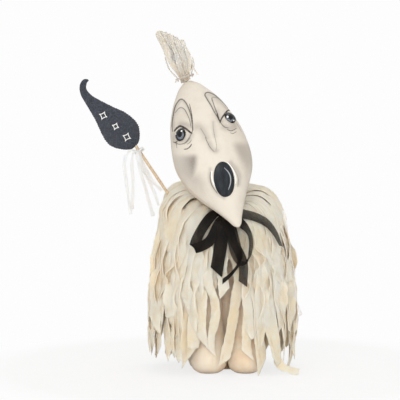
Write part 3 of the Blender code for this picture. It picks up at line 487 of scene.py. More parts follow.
def mouth_material():
    """Black painted oval: blue-black paint with brush streaks, a grey rim and one pale curved
    stroke of painted highlight.
    """
    made, board, shader = blank_material("mouth_paint", 0.45, Specular_IOR_Level=0.12,
                                         Coat_Weight=0.06, Coat_Roughness=0.3)
    place = board.place()
    streak = board.noise(place, 300.0, 4.0, 0.6, stretch=(1.0, 1.0, 0.25))
    colour = board.mix(board.span(streak, 0.35, 0.75), srgb(34, 37, 41), srgb(52, 56, 61))
    colour = board.mix(board.map("rim"), colour, srgb(70, 68, 66))
    # painted highlight along the mouth's right inner side
    colour = board.mix(board.map("highlight_curl"), colour, srgb(176, 180, 184))
    board.finish(shader, colour, board.span(streak, 0.3, 0.8, 0.3, 0.5))
    board.bump(shader, streak, 0.2, 0.0003)
    return made


def felt_material():
    """Charcoal felt: matted fibres as stretched noises in three directions, flecks of pale fibre,
    and white painted outlines where the stars map is one."""
    made, board, shader = blank_material("charcoal_felt", 0.96, Sheen_Weight=0.12,
                                         Sheen_Roughness=0.7, Specular_IOR_Level=0.08)
    place = board.place()
    hairs = [board.noise(place, 900.0, 3.0, 0.6, stretch=s)
             for s in ((1.0, 0.2, 0.3), (0.3, 0.2, 1.0), (0.8, 1.0, 0.8))]
    matted = board.math("MAXIMUM", board.math("MAXIMUM", hairs[0], hairs[1]), hairs[2])
    slow = board.noise(place, 60.0, 3.0, 0.5)
    colour = board.mix(board.span(matted, 0.45, 0.75), srgb(50, 53, 61), srgb(76, 80, 91))
    colour = board.mix(board.span(slow, 0.4, 0.7, 0.0, 0.35), colour, srgb(66, 67, 74))
    fleck = board.span(board.noise(place, 2300.0, 2.0, 0.5), 0.68, 0.76, 0.0, 0.5)
    colour = board.mix(fleck, colour, srgb(104, 108, 119))
    colour = board.mix(board.span(board.map("stars"), 0.3, 0.7), colour, srgb(240, 240, 238))
    board.finish(shader, colour, board.span(matted, 0.4, 0.8, 0.9, 1.0))
    board.bump(shader, matted, 0.6, 0.0006)
    return made


def wood_material():
    """Birch dowel: fibres as noise stretched along the stick, with slower streaks darker."""
    made, board, shader = blank_material("birch_dowel", 0.6, Specular_IOR_Level=0.3)
    place = board.place()
    turned = board.add("ShaderNodeMapping",
                       {"Vector": place, "Rotation": (0.0, -STICK_LEAN, 0.0)})
    fibre = board.noise(turned.outputs[0], 900.0, 4.0, 0.6, stretch=(1.0, 1.0, 0.03))
    slow = board.noise(turned.outputs[0], 120.0, 2.0, 0.5, stretch=(1.0, 1.0, 0.15))
    colour = board.mix(board.span(fibre, 0.35, 0.7), srgb(222, 205, 180), srgb(201, 175, 143))
    colour = board.mix(board.span(slow, 0.5, 0.8, 0.0, 0.6), colour, srgb(182, 146, 108))
    board.finish(shader, colour, board.span(fibre, 0.3, 0.7, 0.5, 0.72))
    board.bump(shader, fibre, 0.3, 0.0002)
    return made


ROBE_MUSLIN = muslin_material("robe_muslin", srgb(254, 242, 221), srgb(250, 228, 197),
                              srgb(212, 172, 131), 1900.0, crease=0.5)
PALE_MUSLIN = muslin_material("pale_muslin", srgb(252, 251, 248), srgb(248, 245, 239),
                              srgb(226, 219, 208), 1900.0, crease=0.15)
CROWN_MUSLIN = muslin_material("crown_muslin", srgb(249, 238, 223), srgb(238, 223, 205),
                               srgb(176, 158, 138), 1900.0, crease=0.3, size=40.0)
SACK_MUSLIN = muslin_material("sack_muslin", srgb(247, 235, 217), srgb(241, 221, 194),
                              srgb(216, 180, 141), 1500.0, crease=0.1, size=18.0)
RIBBON_SHEER = organza_material()
HEAD_PAINT = painted_material()
EYE_PAINT, MOUTH_PAINT = eye_material(), mouth_material()
FELT, DOWEL = felt_material(), wood_material()


# The view that the paint is laid out for, in a frame of 400 by 400, and the camera that shows it

IMAGE_SIDE = 400
CAMERA_AIM = np.array([-22.0, -22.0, 172.0]) * MM
CAMERA_DISTANCE = 1.6
CAMERA_RISE = math.radians(3.0)
SENSOR = 36.0
FRAME_WIDTH = 0.4  # metres that the frame shows at the camera's aim
LENS = SENSOR * CAMERA_DISTANCE / FRAME_WIDTH
CAMERA_BACK = np.array([0.0, -math.cos(CAMERA_RISE), math.sin(CAMERA_RISE)])
CAMERA_UP = np.array([0.0, math.sin(CAMERA_RISE), math.cos(CAMERA_RISE)])


def front_place(points):
    """Where points lie as seen from the front: across and down in the frame, by perspective."""
    away = points - (CAMERA_AIM + CAMERA_BACK * CAMERA_DISTANCE)
    depth = -(away @ CAMERA_BACK)
    scale = IMAGE_SIDE * LENS / SENSOR / depth
    across = IMAGE_SIDE / 2 + away[..., 0] * scale
    return np.stack([across, IMAGE_SIDE / 2 - (away @ CAMERA_UP) * scale], axis=-1)


def brush(place, corners, width, strength=1.0, taper=0.35):
    """A brush line's map: strength times (1 - distance / width) squared off, along a smooth curve
    through the corners, whose width narrows towards both ends by taper."""
    line = curve(corners, max(24, 14 * len(corners)))
    low, high = line.min(axis=0) - width, line.max(axis=0) + width
    near = np.all((place > low) & (place < high), axis=-1)
    found = np.zeros(place.shape[:-1])
    gap = np.linalg.norm(place[near][:, None] - line[None], axis=2)
    share = gap.argmin(axis=1) / (len(line) - 1)
    reach = width * (1 - taper + taper * np.sin(math.pi * np.clip(share, 0, 1)) ** 0.6)
    found[near] = strength * step(1.3 - 1.3 * gap.min(axis=1) / reach)
    return found


def airbrush(place, corners, width, strength):
    """A sprayed line's map: strength times exp(-(distance / width)^2) along a smooth curve."""
    line = curve(corners, max(24, 14 * len(corners)))
    near = np.all((place > line.min(axis=0) - 3 * width) & (place < line.max(axis=0) + 3 * width),
                  axis=-1)
    found = np.zeros(place.shape[:-1])
    gap = np.linalg.norm(place[near][:, None] - line[None], axis=2).min(axis=1)
    found[near] = strength * np.exp(-(gap / width) ** 2)
    return found


def layered(place, strokes, tool=brush):
    """Strokes of this tool over each other: the highest of their maps."""
    total = np.zeros(place.shape[:-1])
    for corners, width, strength in strokes:
        total = np.maximum(total, tool(place, corners, width, strength))
    return total


# Head

HEAD_LINE = np.array([(-34.7, -12, 290.3), (-11, -43, 218.9), (3.7, -60, 176.4),
                      (15.3, -72, 148.2)]) * MM
HEAD_DEPTH_RATIO = 0.9
HEAD_TURN = math.radians(9.0)
HEAD_WIDTHS = ((0.012, 5.6), (0.045, 11.6), (0.09, 16.8), (0.15, 22.8), (0.23, 28.8),
               (0.32, 33.2), (0.42, 36.6), (0.53, 38.1), (0.61, 36.6), (0.68, 33.0), (0.75, 26.6),
               (0.82, 19.2), (0.88, 13.0), (0.94, 7.4), (0.98, 4.3), (0.995, 2.2))
CROWN_ROUND, CHIN_ROUND = HEAD_WIDTHS[0][0], 1 - HEAD_WIDTHS[-1][0]
NOSE_HEIGHT, NOSE_TIP, NOSE_LENGTH = 2.2 * MM, 0.565, 0.17
NOSE_HALF_ANGLE = math.radians(11)
LEFT_EYE_SHARE, RIGHT_EYE_SHARE, EYE_ANGLE = 0.383, 0.366, math.radians(46)
EYE_HALF, EYE_RISE = 6.5 * MM, 3.6 * MM
MOUTH_SHARE, MOUTH_ACROSS, MOUTH_ALONG = 0.737, 10 * MM, 15.2 * MM
MOUTH_LEAN, MOUTH_RISE = 0.1, 0.9 * MM
PAD_GAP, PAD_EDGE = 0.3 * MM, 0.7 * MM

HEAD_RUNS = np.r_[0, np.cumsum(np.linalg.norm(np.diff(HEAD_LINE, axis=0), axis=1))]
HEAD_PLACES = HEAD_RUNS / HEAD_RUNS[-1]
HEAD_DOWN = unit(HEAD_LINE[-1] - HEAD_LINE[0])
HEAD_SIDE = unit(np.cross([0.0, 1.0, 0.0], HEAD_DOWN))
HEAD_SIDE = HEAD_SIDE * np.sign(HEAD_SIDE[0])
HEAD_FACE = np.cross(HEAD_DOWN, HEAD_SIDE)
HEAD_FACE = HEAD_FACE * -np.sign(HEAD_FACE[1])
FACE_SIDE = HEAD_SIDE * math.cos(HEAD_TURN) - HEAD_FACE * math.sin(HEAD_TURN)
FACE_OUT = HEAD_FACE * math.cos(HEAD_TURN) + HEAD_SIDE * math.sin(HEAD_TURN)


def head_half(share):
    """Half the head's width at this share of its length: the table's cubic, with both ends
    rounded as the square root of the distance from the pole."""
    table = smooth_table(HEAD_WIDTHS, share) * MM
    crown = np.sqrt(np.clip(share / CROWN_ROUND, 0, 1))
    chin = np.sqrt(np.clip((1 - share) / CHIN_ROUND, 0, 1))
    return table * crown * chin


def head_point(share, angle, lift=0.0):
    """A point on the head: its line's centre plus half width times sin(angle) to the side and 0.9
    half width times cos(angle) forward, with the low wedge of the nose and a lift added."""
    share, angle = np.broadcast_arrays(np.asarray(share, float), np.asarray(angle, float))
    centre = np.stack([smooth_table(list(zip(HEAD_PLACES, HEAD_LINE[:, k])), share)
                       for k in range(3)], axis=-1)
    climb = (share - NOSE_TIP + NOSE_LENGTH) / NOSE_LENGTH
    ridge = np.where(climb <= 1, step(climb), step(1 - (climb - 1) * 6))
    lift = lift + NOSE_HEIGHT * step(1 - np.abs(angle) / NOSE_HALF_ANGLE) * ridge
    half = head_half(share)
    x = (half + lift) * np.sin(angle)
    y = (half * HEAD_DEPTH_RATIO + lift) * np.cos(angle)
    return centre + x[..., None] * FACE_SIDE + y[..., None] * FACE_OUT


# Brush lines of the face: corners across and down in the frame, half width, strength
INK_LINES = (
    (((174.4, 131), (175.7, 129.3), (178, 127.2), (180.3, 126.2), (184.4, 127.8), (189, 131.3),
      (191.7, 133.4)), 1.7, 1.0),
    (((172.6, 131.5), (172, 125), (172.7, 118.6), (174.7, 107.9), (178.3, 101.2), (181.8, 99.2),
      (185.4, 102.2), (188.5, 107.9), (191, 115.5), (192, 123.2), (192.6, 129.8), (191.5, 133.4)),
     1.2, 0.66),
    (((189.4, 104), (191.4, 113), (192.5, 122), (193, 130.5)), 0.9, 0.75),
    (((175, 113), (178.3, 108.9), (181.3, 107.6), (184.4, 109.4), (186.9, 113.5), (189.5, 119.6),
      (191.2, 128)), 0.95, 0.6),
    (((191.6, 133), (189.5, 137.4), (185.4, 142.6), (179.8, 144.3), (175.4, 143)), 0.95, 0.62),
    (((190.6, 137.5), (187.6, 141.4), (184, 144.4)), 0.7, 0.5),
    (((187.2, 144.2), (189.6, 142.6), (191.6, 139.8)), 0.7, 0.6),
    (((184.2, 149.3), (187.4, 148.7), (190, 146.6), (191.6, 144.2)), 0.95, 0.85),
    (((173.2, 141.9), (175.4, 142.4), (177.6, 141)), 0.8, 0.8),
    (((176.2, 141.6), (176.6, 144.6), (176.8, 148)), 0.65, 0.6),
    (((220, 122.4), (221.8, 118.2), (224.7, 114), (227.8, 110.6), (231.3, 109.8)), 1.3, 0.95),
    (((220.4, 121.8), (216.5, 115.5), (214, 111.4), (210.9, 105.3), (206.8, 98.7), (204.9, 94.8),
      (206.8, 92.5), (210.9, 93.1), (215.5, 95.6), (221.1, 100.2), (228.3, 107.9)), 1.2, 0.64),
    (((219.8, 121), (217.5, 114), (214, 105), (212, 98)), 0.9, 0.62),
    (((222, 101.5), (216.5, 97.6), (212.4, 97.4), (211.6, 99.4), (213.4, 104), (215.8, 112)),
     0.85, 0.5),
    (((217, 113), (218.3, 118), (220.5, 122.4)), 1.2, 0.9),
    (((220.6, 122.8), (222.4, 125), (225, 127.3), (228.4, 128)), 1.0, 0.6),
    (((227, 129.3), (231.3, 130.8), (236.4, 128.4)), 0.75, 0.7),
    (((230.3, 132.7), (233, 133.5), (236.4, 131.6)), 0.7, 0.62),
    (((236.2, 123.2), (239, 127), (241.5, 132)), 0.7, 0.4),
    (((200.4, 128), (203.8, 133.4), (206.8, 138.6)), 1.2, 0.42),
    (((205.2, 137.4), (207.6, 142.6), (210.6, 148), (214.4, 151.9)), 0.9, 0.6),
    (((213, 121.6), (213.3, 128.3), (214.6, 135.9), (216, 142), (216.5, 146.6), (215.8, 151.4)),
     0.8, 0.48),
    (((210.4, 172), (210.2, 178), (212, 185.4), (217.4, 193.4)), 1.1, 0.6),
    (((230.8, 164.6), (235.6, 171.4), (238.2, 178.6), (237.8, 187)), 1.1, 0.42),
)
WHITE_LINES = (
    (((211.9, 171), (211.7, 176), (213, 182), (218.2, 192.2)), 0.9, 1.0),
    (((227.6, 162.6), (231.4, 167.2), (234.2, 172.6), (235.8, 178.4), (235.7, 183.6)), 0.85, 1.0),
)
GREY_WASH = (
    (((181, 124.6), (185, 124.4), (188.5, 126)), 3.4, 0.42),
    (((175.4, 134), (174.4, 139), (176, 142.6)), 2.4, 0.35),
    (((186, 141), (189.4, 138.4), (191, 135.4)), 3.0, 0.35),
    (((224, 126.8), (229.5, 128.4), (235, 126.6)), 3.2, 0.4),
    (((216, 112), (218.4, 117.4), (220.6, 121.6)), 3.2, 0.45),
    (((196.5, 127), (200, 127.6), (203.6, 132), (206.6, 138)), 4.2, 0.38),
    (((213.6, 122), (213.8, 129), (214.8, 136)), 2.6, 0.26),
    (((209, 143), (212, 148.6), (215.6, 151)), 3.2, 0.4),
    (((210.2, 169), (209.4, 178), (212, 186), (217, 193.4), (224, 198)), 2.0, 0.34),
    (((230.5, 162.4), (236.2, 169), (239.2, 176), (238.6, 184)), 2.4, 0.42),
    (((173.4, 127), (173.4, 117), (176, 107.5), (179.6, 101.8), (183.4, 101.2), (187, 106.5),
      (190, 114), (191.4, 124)), 1.7, 0.3),
    (((218, 116), (213, 108), (208.4, 100), (206.6, 95.4), (210.4, 95.2), (215.6, 98),
      (221.6, 102.6), (227, 108.4)), 1.7, 0.3),
    (((176, 113), (180, 109), (185, 110.5), (189, 118)), 3.0, 0.18),
    (((206, 94.5), (211, 96), (218, 100.5)), 3.0, 0.2),
)


def cheek_wash(place):
    """Airbrushed hollows of the cheeks: each starts hard at its top and its inner side and fades
    outwards and down."""
    u, v = place[..., 0], place[..., 1]
    inner = 200.5 - 0.1 * np.maximum(v - 156, 0)
    left = (step((v - 151.5) / 8) * step((inner - u) / 8) * (1 - step((v - 160) / 34))
            * np.exp(-np.maximum(inner - 6 - u, 0) / 13))
    jaw = np.exp(-((u - 196 - 0.55 * (v - 182)) / 9) ** 2 - ((v - 180) / 10) ** 2) * 0.5
    inner = 229 + 0.42 * (v - 144)
    right = (step((v - 139.5) / 8) * step((u - inner) / 9) * (1 - step((v - 150) / 36))
             * (1 - 0.35 * step((u - inner - 10) / 8)))
    return np.maximum(np.maximum(left * 1.05, jaw * 0.8), right * 0.55).clip(0, 1) * 0.92


def make_head():
    """The head as one surface, fine on the face, whose maps hold the brush lines and washes."""
    shares = np.concatenate([np.linspace(0, 1, 30)[:-1] ** 2 * 0.05, np.linspace(0.05, 0.86, 285),
                             0.86 + 0.14 * (1 - np.linspace(1, 0, 44)[1:] ** 1.8)])[1:-1]
    fine = np.linspace(-80, 80, 200)
    angles = np.radians(np.r_[fine, np.linspace(80, 280, 52)[1:-1]])
    rings = head_point(shares[:, None], angles[None, :])
    chance = np.random.default_rng(11)
    out = unit(rings - rings.mean(axis=1, keepdims=True))
    a, s = angles[None, :], shares[:, None]
    lump = sum(np.sin(s * f + p) * np.cos(a * g + q)
               for f, g, p, q in zip((9, 17, 26), (2, 3, 5), chance.uniform(0, 6, 3),
                                     chance.uniform(0, 6, 3)))
    rings = rings + out * (lump * 0.22 * MM * step(s / 0.1) * step((1 - s) / 0.1))[..., None]
    seam = np.exp(-((np.abs(a) - math.pi) / 0.035) ** 2)
    rings = rings - out * (seam * 0.7 * MM * step(s / 0.05) * step((1 - s) / 0.08))[..., None]
    place = front_place(rings)
    front = step((math.radians(100) - np.abs(angles)) / math.radians(14))[None, :]
    washes = np.maximum(layered(place, GREY_WASH, airbrush), cheek_wash(place)) * front
    side_wash = step((np.abs(a) - math.radians(62)) / math.radians(40)) * 0.16
    maps = {
        "ink": layered(place, INK_LINES) * front,
        "white": layered(place, WHITE_LINES) * front,
        "shade": np.maximum(washes, side_wash),
        "warm": np.clip(0.12 * step((s - 0.8) / 0.2) + 0.5 * step((np.abs(a) - 1.9) / 0.9)
                        + 0.2 * step((0.1 - s) / 0.1), 0, 1),
    }
    head = closed_skin("painted_head", rings, HEAD_PAINT, maps, HEAD_LINE[0], HEAD_LINE[-1])
    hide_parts("head")


def face_pad(name, share, angle, half_across, half_along, rise, rows, around, paint, material,
             lean=0.0):
    """A domed oval on the face: rings of points whose place out from its middle goes from the rim
    under it to the top, raised by rise times the square root of 1 - out^2."""
    whole = np.linalg.norm(HEAD_LINE[-1] - HEAD_LINE[0])
    turn = np.linspace(0, 2 * math.pi, around, endpoint=False)[None, :]

    def place(out, lift):
        down = share + out * half_along * np.cos(turn) / whole
        aside = half_across * np.sin(turn) - lean * half_along * np.cos(turn)
        at = angle + out * aside / head_half(down)
        return head_point(down, at, lift)

    outs = np.sin(np.linspace(0.02, 1, rows) * math.pi / 2)[:, None]
    under = place(np.array([[0.3], [0.7], [0.95]]), -0.1 * MM + 0 * turn)
    out = outs[::-1]
    over = place(out, PAD_GAP + PAD_EDGE * (1 - 0.35 * out**8) + rise * np.sqrt(1 - out**2 * 0.999))
    rings = np.concatenate([under, over])
    pad = closed_skin(name, rings, material, paint(front_place(rings)))
    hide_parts(name)
    return pad


def soft(value, edge=0.12):
    """From 0 to 1 as the value passes 0, over this edge."""
    return step(value / edge + 0.5)


def eye_paint(centre, radius, look, glints):
    """The maps of a painted eye in the frame: a ringed iris, its crescent opposite the look, the
    pupil towards the look, and glints as small discs."""
    def paint(place):
        q = (place - np.array(centre)) / np.array(radius)
        look_at = np.array(look)
        rim = soft(1 - np.linalg.norm(q, axis=-1), 0.16)
        ring = soft(0.56 - np.linalg.norm(q + look_at * 0.12, axis=-1), 0.14)
        pupil = soft(0.45 - np.linalg.norm(q - look_at * 0.12, axis=-1), 0.12)
        glint = sum(soft(size - np.linalg.norm(place - np.array(spot), axis=-1), 0.7)
                    for *spot, size in glints)
        return {"rim": rim, "crescent": ring, "pupil": pupil, "glint": np.clip(glint, 0, 1)}
    return paint


def make_face_pads():
    """The two painted eyes and the mouth."""
    eyes = (("eye_left", LEFT_EYE_SHARE, -EYE_ANGLE, (180.0, 134.4), (6.0, 7.8), (-0.55, -0.75),
             ((175.4, 134.0, 0.8), (181.6, 131.0, 0.8))),
            ("eye_right", RIGHT_EYE_SHARE, EYE_ANGLE, (230.2, 117.4), (6.5, 7.0), (0.4, -0.7),
             ((227.6, 116.8, 1.0), (233.8, 120.4, 0.6))))
    for name, share, angle, centre, radius, look, glints in eyes:
        eye = face_pad(name, share, angle, EYE_HALF, EYE_HALF, EYE_RISE, 60, 96,
                       eye_paint(centre, radius, look, glints), EYE_PAINT)

    def paint(place):
        # Painted highlight: a pale curved stroke inside the mouth's right side
        highlight_curl = brush(place, ((223.8, 167.3), (228.3, 172), (230.5, 177.2), (230.4, 183.6),
                             (228.3, 189.9)), 0.8, 1.0, 0.8)
        middle = (place - np.array((224.0, 179.6))) / np.array((10.4, 18.4))
        return {"highlight_curl": highlight_curl, "rim": 0.6 * soft(np.linalg.norm(middle, axis=-1) - 0.99, 0.1)}

    mouth = face_pad("mouth", MOUTH_SHARE, 0.0, MOUTH_ACROSS, MOUTH_ALONG, MOUTH_RISE, 50, 120,
                     paint, MOUTH_PAINT, MOUTH_LEAN)


# Robe

CLOTH, CLEARANCE = 0.5 * MM, 0.3 * MM
NECK_RADIUS, BELLY_RADIUS = 13 * MM, 42 * MM
ROBE_PROFILE = np.array([(15.9, 171), (27, 178), (38, 181), (49, 175), (56.5, 163), (60.5, 147),
                         (64, 125), (67, 100), (69.5, 74), (70.5, 50), (70, 26), (68.5, 2)]) * MM
ROBE_DEPTH_RATIO, ROBE_FRONT_DROP, ROBE_TILT = 0.88, 24 * MM, 0.07
ROBE_NECK_SHARE, ROBE_NECK_FALL = 0.4, 24 * MM
SHOULDER_FALL, FADE_FALL = 52 * MM, 95 * MM
LAYER_STEP, LAYER_ORDER = 1.7 * MM, (0, 2, 1, 3)
SEWN_STEP = 1.4 * MM
STRIP_WIDTH, STRIP_NECK_WIDTH, ROW_STEP = 15 * MM, 7.5 * MM, 2.0 * MM
STICK_SIDE, STICK_GAP = math.radians(270), math.radians(11)
FLOOR_GAP, SHOULDER_CUP, RUMPLE = 0.6 * MM, 2.4 * MM, 0.65 * MM
RIPPLE_SPAN = 0.1  # metres of a strip that its ripples' paces are counted in
STRIP_COLUMNS = 11
# Slant and point of a torn hem, as shares of the strip's width
HEM_CUTS = ((0.9, 0.0), (-1.1, 0.1), (0.3, 0.7), (-0.5, 0.6), (1.4, 0.0), (-0.2, 0.9), (0.0, 0.15))
# Angle at the shoulder, halfway and at the hem, hem's height, width and forward swing, in mm
FRONT_STRIPS = (
    (-66, -67, -70, 36, 15, 0), (-56, -58, -61, 21, 14, 0), (-47, -49, -50, 22, 15, 0),
    (-38, -39, -36, 17, 15, 0), (-29, -29, -27, 17, 15, 3), (-19, -17, -16, 34, 12, 3),
    (-9, -8, -9, 92, 12, 0), (1, 0, 1, 84, 11, 0), (10, 12, 2, 14, 10, 0), (19, 20, 19, 40, 11, 4),
    (28, 27, 32, 9, 12, 4), (37, 38, 44, 12, 15, 4), (47, 48, 50, 27, 15, 0),
    (57, 57, 60, 28, 16, 0), (67, 68, 72, 50, 13, 0),
)
BACK_STRIP_COUNT, BACK_HEM = 21, (9, 30)

ROBE_CORNERS = curve(ROBE_PROFILE, 120)
ROBE_RUN = np.r_[0, np.cumsum(np.linalg.norm(np.diff(ROBE_CORNERS, axis=0), axis=1))]
ROBE_SLOPE = directions(ROBE_CORNERS)


def robe_point(angle, fall, lift):
    """A point on the robe: the profile at this fall, moved out by lift along its normal, turned
    by angle about the neck, flattened front to back below the shoulder, dropped at the throat
    and tilted to one side."""
    angle, fall, lift = np.broadcast_arrays(angle, fall, lift)
    reach = np.interp(fall, ROBE_RUN, ROBE_CORNERS[:, 0])
    height = np.interp(fall, ROBE_RUN, ROBE_CORNERS[:, 1])
    slope_out = np.interp(fall, ROBE_RUN, ROBE_SLOPE[:, 0])
    slope_up = np.interp(fall, ROBE_RUN, ROBE_SLOPE[:, 1])
    height = height - np.maximum(fall - ROBE_RUN[-1], 0)
    reach, height = reach - slope_up * lift, height + slope_out * lift
    flatten = 1 - (1 - ROBE_DEPTH_RATIO) * step(fall / SHOULDER_FALL)
    fade = 1 - step((fall - SHOULDER_FALL) / FADE_FALL)
    opening = ROBE_NECK_SHARE + (1 - ROBE_NECK_SHARE) * step(fall / ROBE_NECK_FALL)
    drop = ROBE_FRONT_DROP * opening * np.maximum(0, np.cos(angle)) ** 1.3 * fade
    x = reach * np.sin(angle)
    return np.stack([x, -reach * flatten * np.cos(angle), height - drop - ROBE_TILT * x * fade],
                    axis=-1)


def fall_at(height):
    """How far along the profile the robe has fallen to this height."""
    past = ROBE_RUN > SHOULDER_FALL
    return float(np.interp(-height, -ROBE_CORNERS[past][:, 1], ROBE_RUN[past]))


def strip_plan():
    """For each robe strip its three angles, its hem's height and swing, its width and its layer,
    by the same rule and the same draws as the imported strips."""
    chance = random.Random(7)
    first, last = FRONT_STRIPS[0][0], FRONT_STRIPS[-1][0]
    turn = (360 - last + first) / (BACK_STRIP_COUNT + 1)
    plan, total = [], len(FRONT_STRIPS) + BACK_STRIP_COUNT
    for number in range(total):
        if number < len(FRONT_STRIPS):
            *degrees, hem, width, swing = FRONT_STRIPS[number]
            hem, width, swing = hem * MM, width * MM, swing * MM
        else:
            middle = last + (number - len(FRONT_STRIPS) + 1) * turn
            degrees = [middle + chance.uniform(-2.5, 2.5) for _ in range(3)]
            hem = chance.uniform(*BACK_HEM) * MM
            width, swing = STRIP_WIDTH * chance.uniform(0.9, 1.12), 0.0
        sway = [math.radians(degree) for degree in degrees]
        off_stick = sway[0] - STICK_SIDE
        if abs(off_stick) < STICK_GAP:
            sway[0] = STICK_SIDE + math.copysign(STICK_GAP, off_stick)
        layer = LAYER_ORDER[number % len(LAYER_ORDER)]
        if number == total - 1 and layer == LAYER_ORDER[0]:
            layer = LAYER_ORDER[2]
        plan.append((sway, hem, swing, width, layer))
    return plan


def torn_strip(chance, sway, hem, swing, width, lift, wild, hem_cut, tan_and_shade, start=0.0,
               neck=STRIP_NECK_WIDTH, free=(0.55, 1.6)):
    """A torn strip's grid and maps. Its centre falls along the robe at angles that pass smoothly
    through sway and wander by ripples; it stands off by lift plus a billow; its width turns
    about its length by a twist; its section cups and folds; its edges are torn by two noises;
    its hem runs out by hem_cut: a slant, a point, or both. It comes loose from the robe over the
    two shares of the shoulder's fall in free: where that starts, and how long it takes."""
    end = fall_at(hem)
    rows = max(int((end - start) / ROW_STEP), 12)
    t = np.linspace(0, 1, rows)
    fall = start + (end - start) * t

    def wave(count, low, high):
        return ripple(fall / RIPPLE_SPAN, chance, count, low, high)

    loose = step((fall - SHOULDER_FALL * free[0]) / (SHOULDER_FALL * free[1]))
    turns = ((0.0, sway[0]), (SHOULDER_FALL, sway[0]), (end * 0.62, sway[1]), (end, sway[2]))
    angle = smooth_table(turns, fall)
    angle = angle + math.radians(2.2) * wild * loose * wave(3, 0.5, 1.6)
    narrow = step(fall / (SHOULDER_FALL * 1.3))
    widths = neck + (width - neck) * narrow
    widths = widths * (1 + 0.13 * loose * wave(3, 1.0, 4.0))
    billow = 1.1 * MM * wild * loose * wave(3, 0.8, 2.6)
    out = lift + billow + swing * step(2 * fall / end - 1)
    centres = robe_point(angle, fall, out)
    normal = unit(robe_point(angle, fall, out + MM) - centres)
    along = directions(centres)
    side = unit(np.cross(along, normal))
    twist = 0.5 * wild * loose * wave(2, 0.5, 1.5)
    if chance.random() < 0.3 * wild:
        at = chance.uniform(0.45, 0.85)
        turned = chance.choice([-1, 1]) * chance.uniform(0.6, 1.2)
        twist = twist + turned * np.exp(-((t - at) / 0.07) ** 2)
    across = side * np.cos(twist)[:, None] + normal * np.sin(twist)[:, None]
    rag = np.stack([wave(4, 6, 26) * 0.42 * MM + np.minimum(0, wave(3, 3, 9) + 0.45) * 1.3 * MM
                    for _ in range(2)], axis=1) * loose[:, None]
    cup = -(0.7 + 0.8 * wave(2, 0.8, 3.0)) * MM * wild * loose
    cup = cup - SHOULDER_CUP * (1 - step((fall - SHOULDER_FALL * 0.6) / SHOULDER_FALL))
    grid = ribbon_grid(centres, across, widths, STRIP_COLUMNS, cup, rag)
    s = places_across(STRIP_COLUMNS)[None, :]
    fold_at = chance.uniform(-0.5, 0.5)
    fold = 1.15 * wave(2, 0.6, 2.0)[:, None] * np.maximum(0, 0.55 - np.abs(s - fold_at))
    pleat = 0.28 * wave(3, 3.0, 9.0)[:, None] * np.cos(s * 3.1 + fold_at)
    grid = grid + normal[:, None] * ((fold + pleat) * MM * wild * loose[:, None])[..., None]
    slanted = fall[:, None] / RIPPLE_SPAN + s * chance.uniform(-0.09, 0.09)
    rumple = ripple(slanted, chance, 3, 3.0, 9.0) * wave(2, 1.0, 3.0)[:, None]
    grid = grid + normal[:, None] * (rumple * RUMPLE * (1 - 0.4 * loose[:, None]))[..., None]
    slant, point = hem_cut
    peak = 0.3 * np.sign(slant + 0.01)
    run = slant * s * width / 2 + point * width * (0.5 - np.abs(s - peak))
    tip = step((t - 0.72) / 0.28)[:, None] ** 1.5
    grid = grid + along[:, None] * (run * tip)[..., None]
    pinch = 1 - tip * min(1.0, abs(point)) * 0.45
    grid = centres[:, None] + (grid - centres[:, None]) * pinch[..., None]
    low = grid[..., 2] < FLOOR_GAP
    grid[..., 2] = np.where(low, FLOOR_GAP + (FLOOR_GAP - grid[..., 2]) * 0.1, grid[..., 2])
    fray = np.clip(np.abs(s) ** 6 + step((t - 0.96) / 0.04)[:, None], 0, 1)
    stained = np.maximum(0, wave(2, 1, 4))[:, None]
    return grid, {"tan_and_shade": np.clip(tan_and_shade + 0.25 * (1 - np.abs(s)) * stained, 0, 1), "fray": fray}


def hang_strip(name, grid, maps, nodes=()):
    piece = cloth_sheets(name, [grid], CLOTH, ROBE_MUSLIN, maps)
    if nodes:
        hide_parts(*nodes)


def make_robe():
    """The robe's sewn strips, each in the place of its node, then the loose ones over them."""
    inner = 1.2 * MM
    for number, (sway, hem, swing, width, layer) in enumerate(strip_plan()):
        chance = np.random.default_rng(100 + number)
        lift = layer * SEWN_STEP * 1.05 - inner * (1 if layer else 0.3)
        cut = HEM_CUTS[chance.integers(len(HEM_CUTS))]
        # the tan_and_shade of 0.24 - 0.07 per layer is painted shade: the deeper the layer, the
        # darker
        grid, maps = torn_strip(chance, sway, hem, swing, width, lift, 0.75, cut,
                                0.24 - 0.07 * layer, neck=10.5 * MM, free=(0.25, 1.2))
        hang_strip(f"robe_strip_{number + 1:02d}", grid, maps, [f"strip_{number + 1:02d}"])
    make_loose_strips()


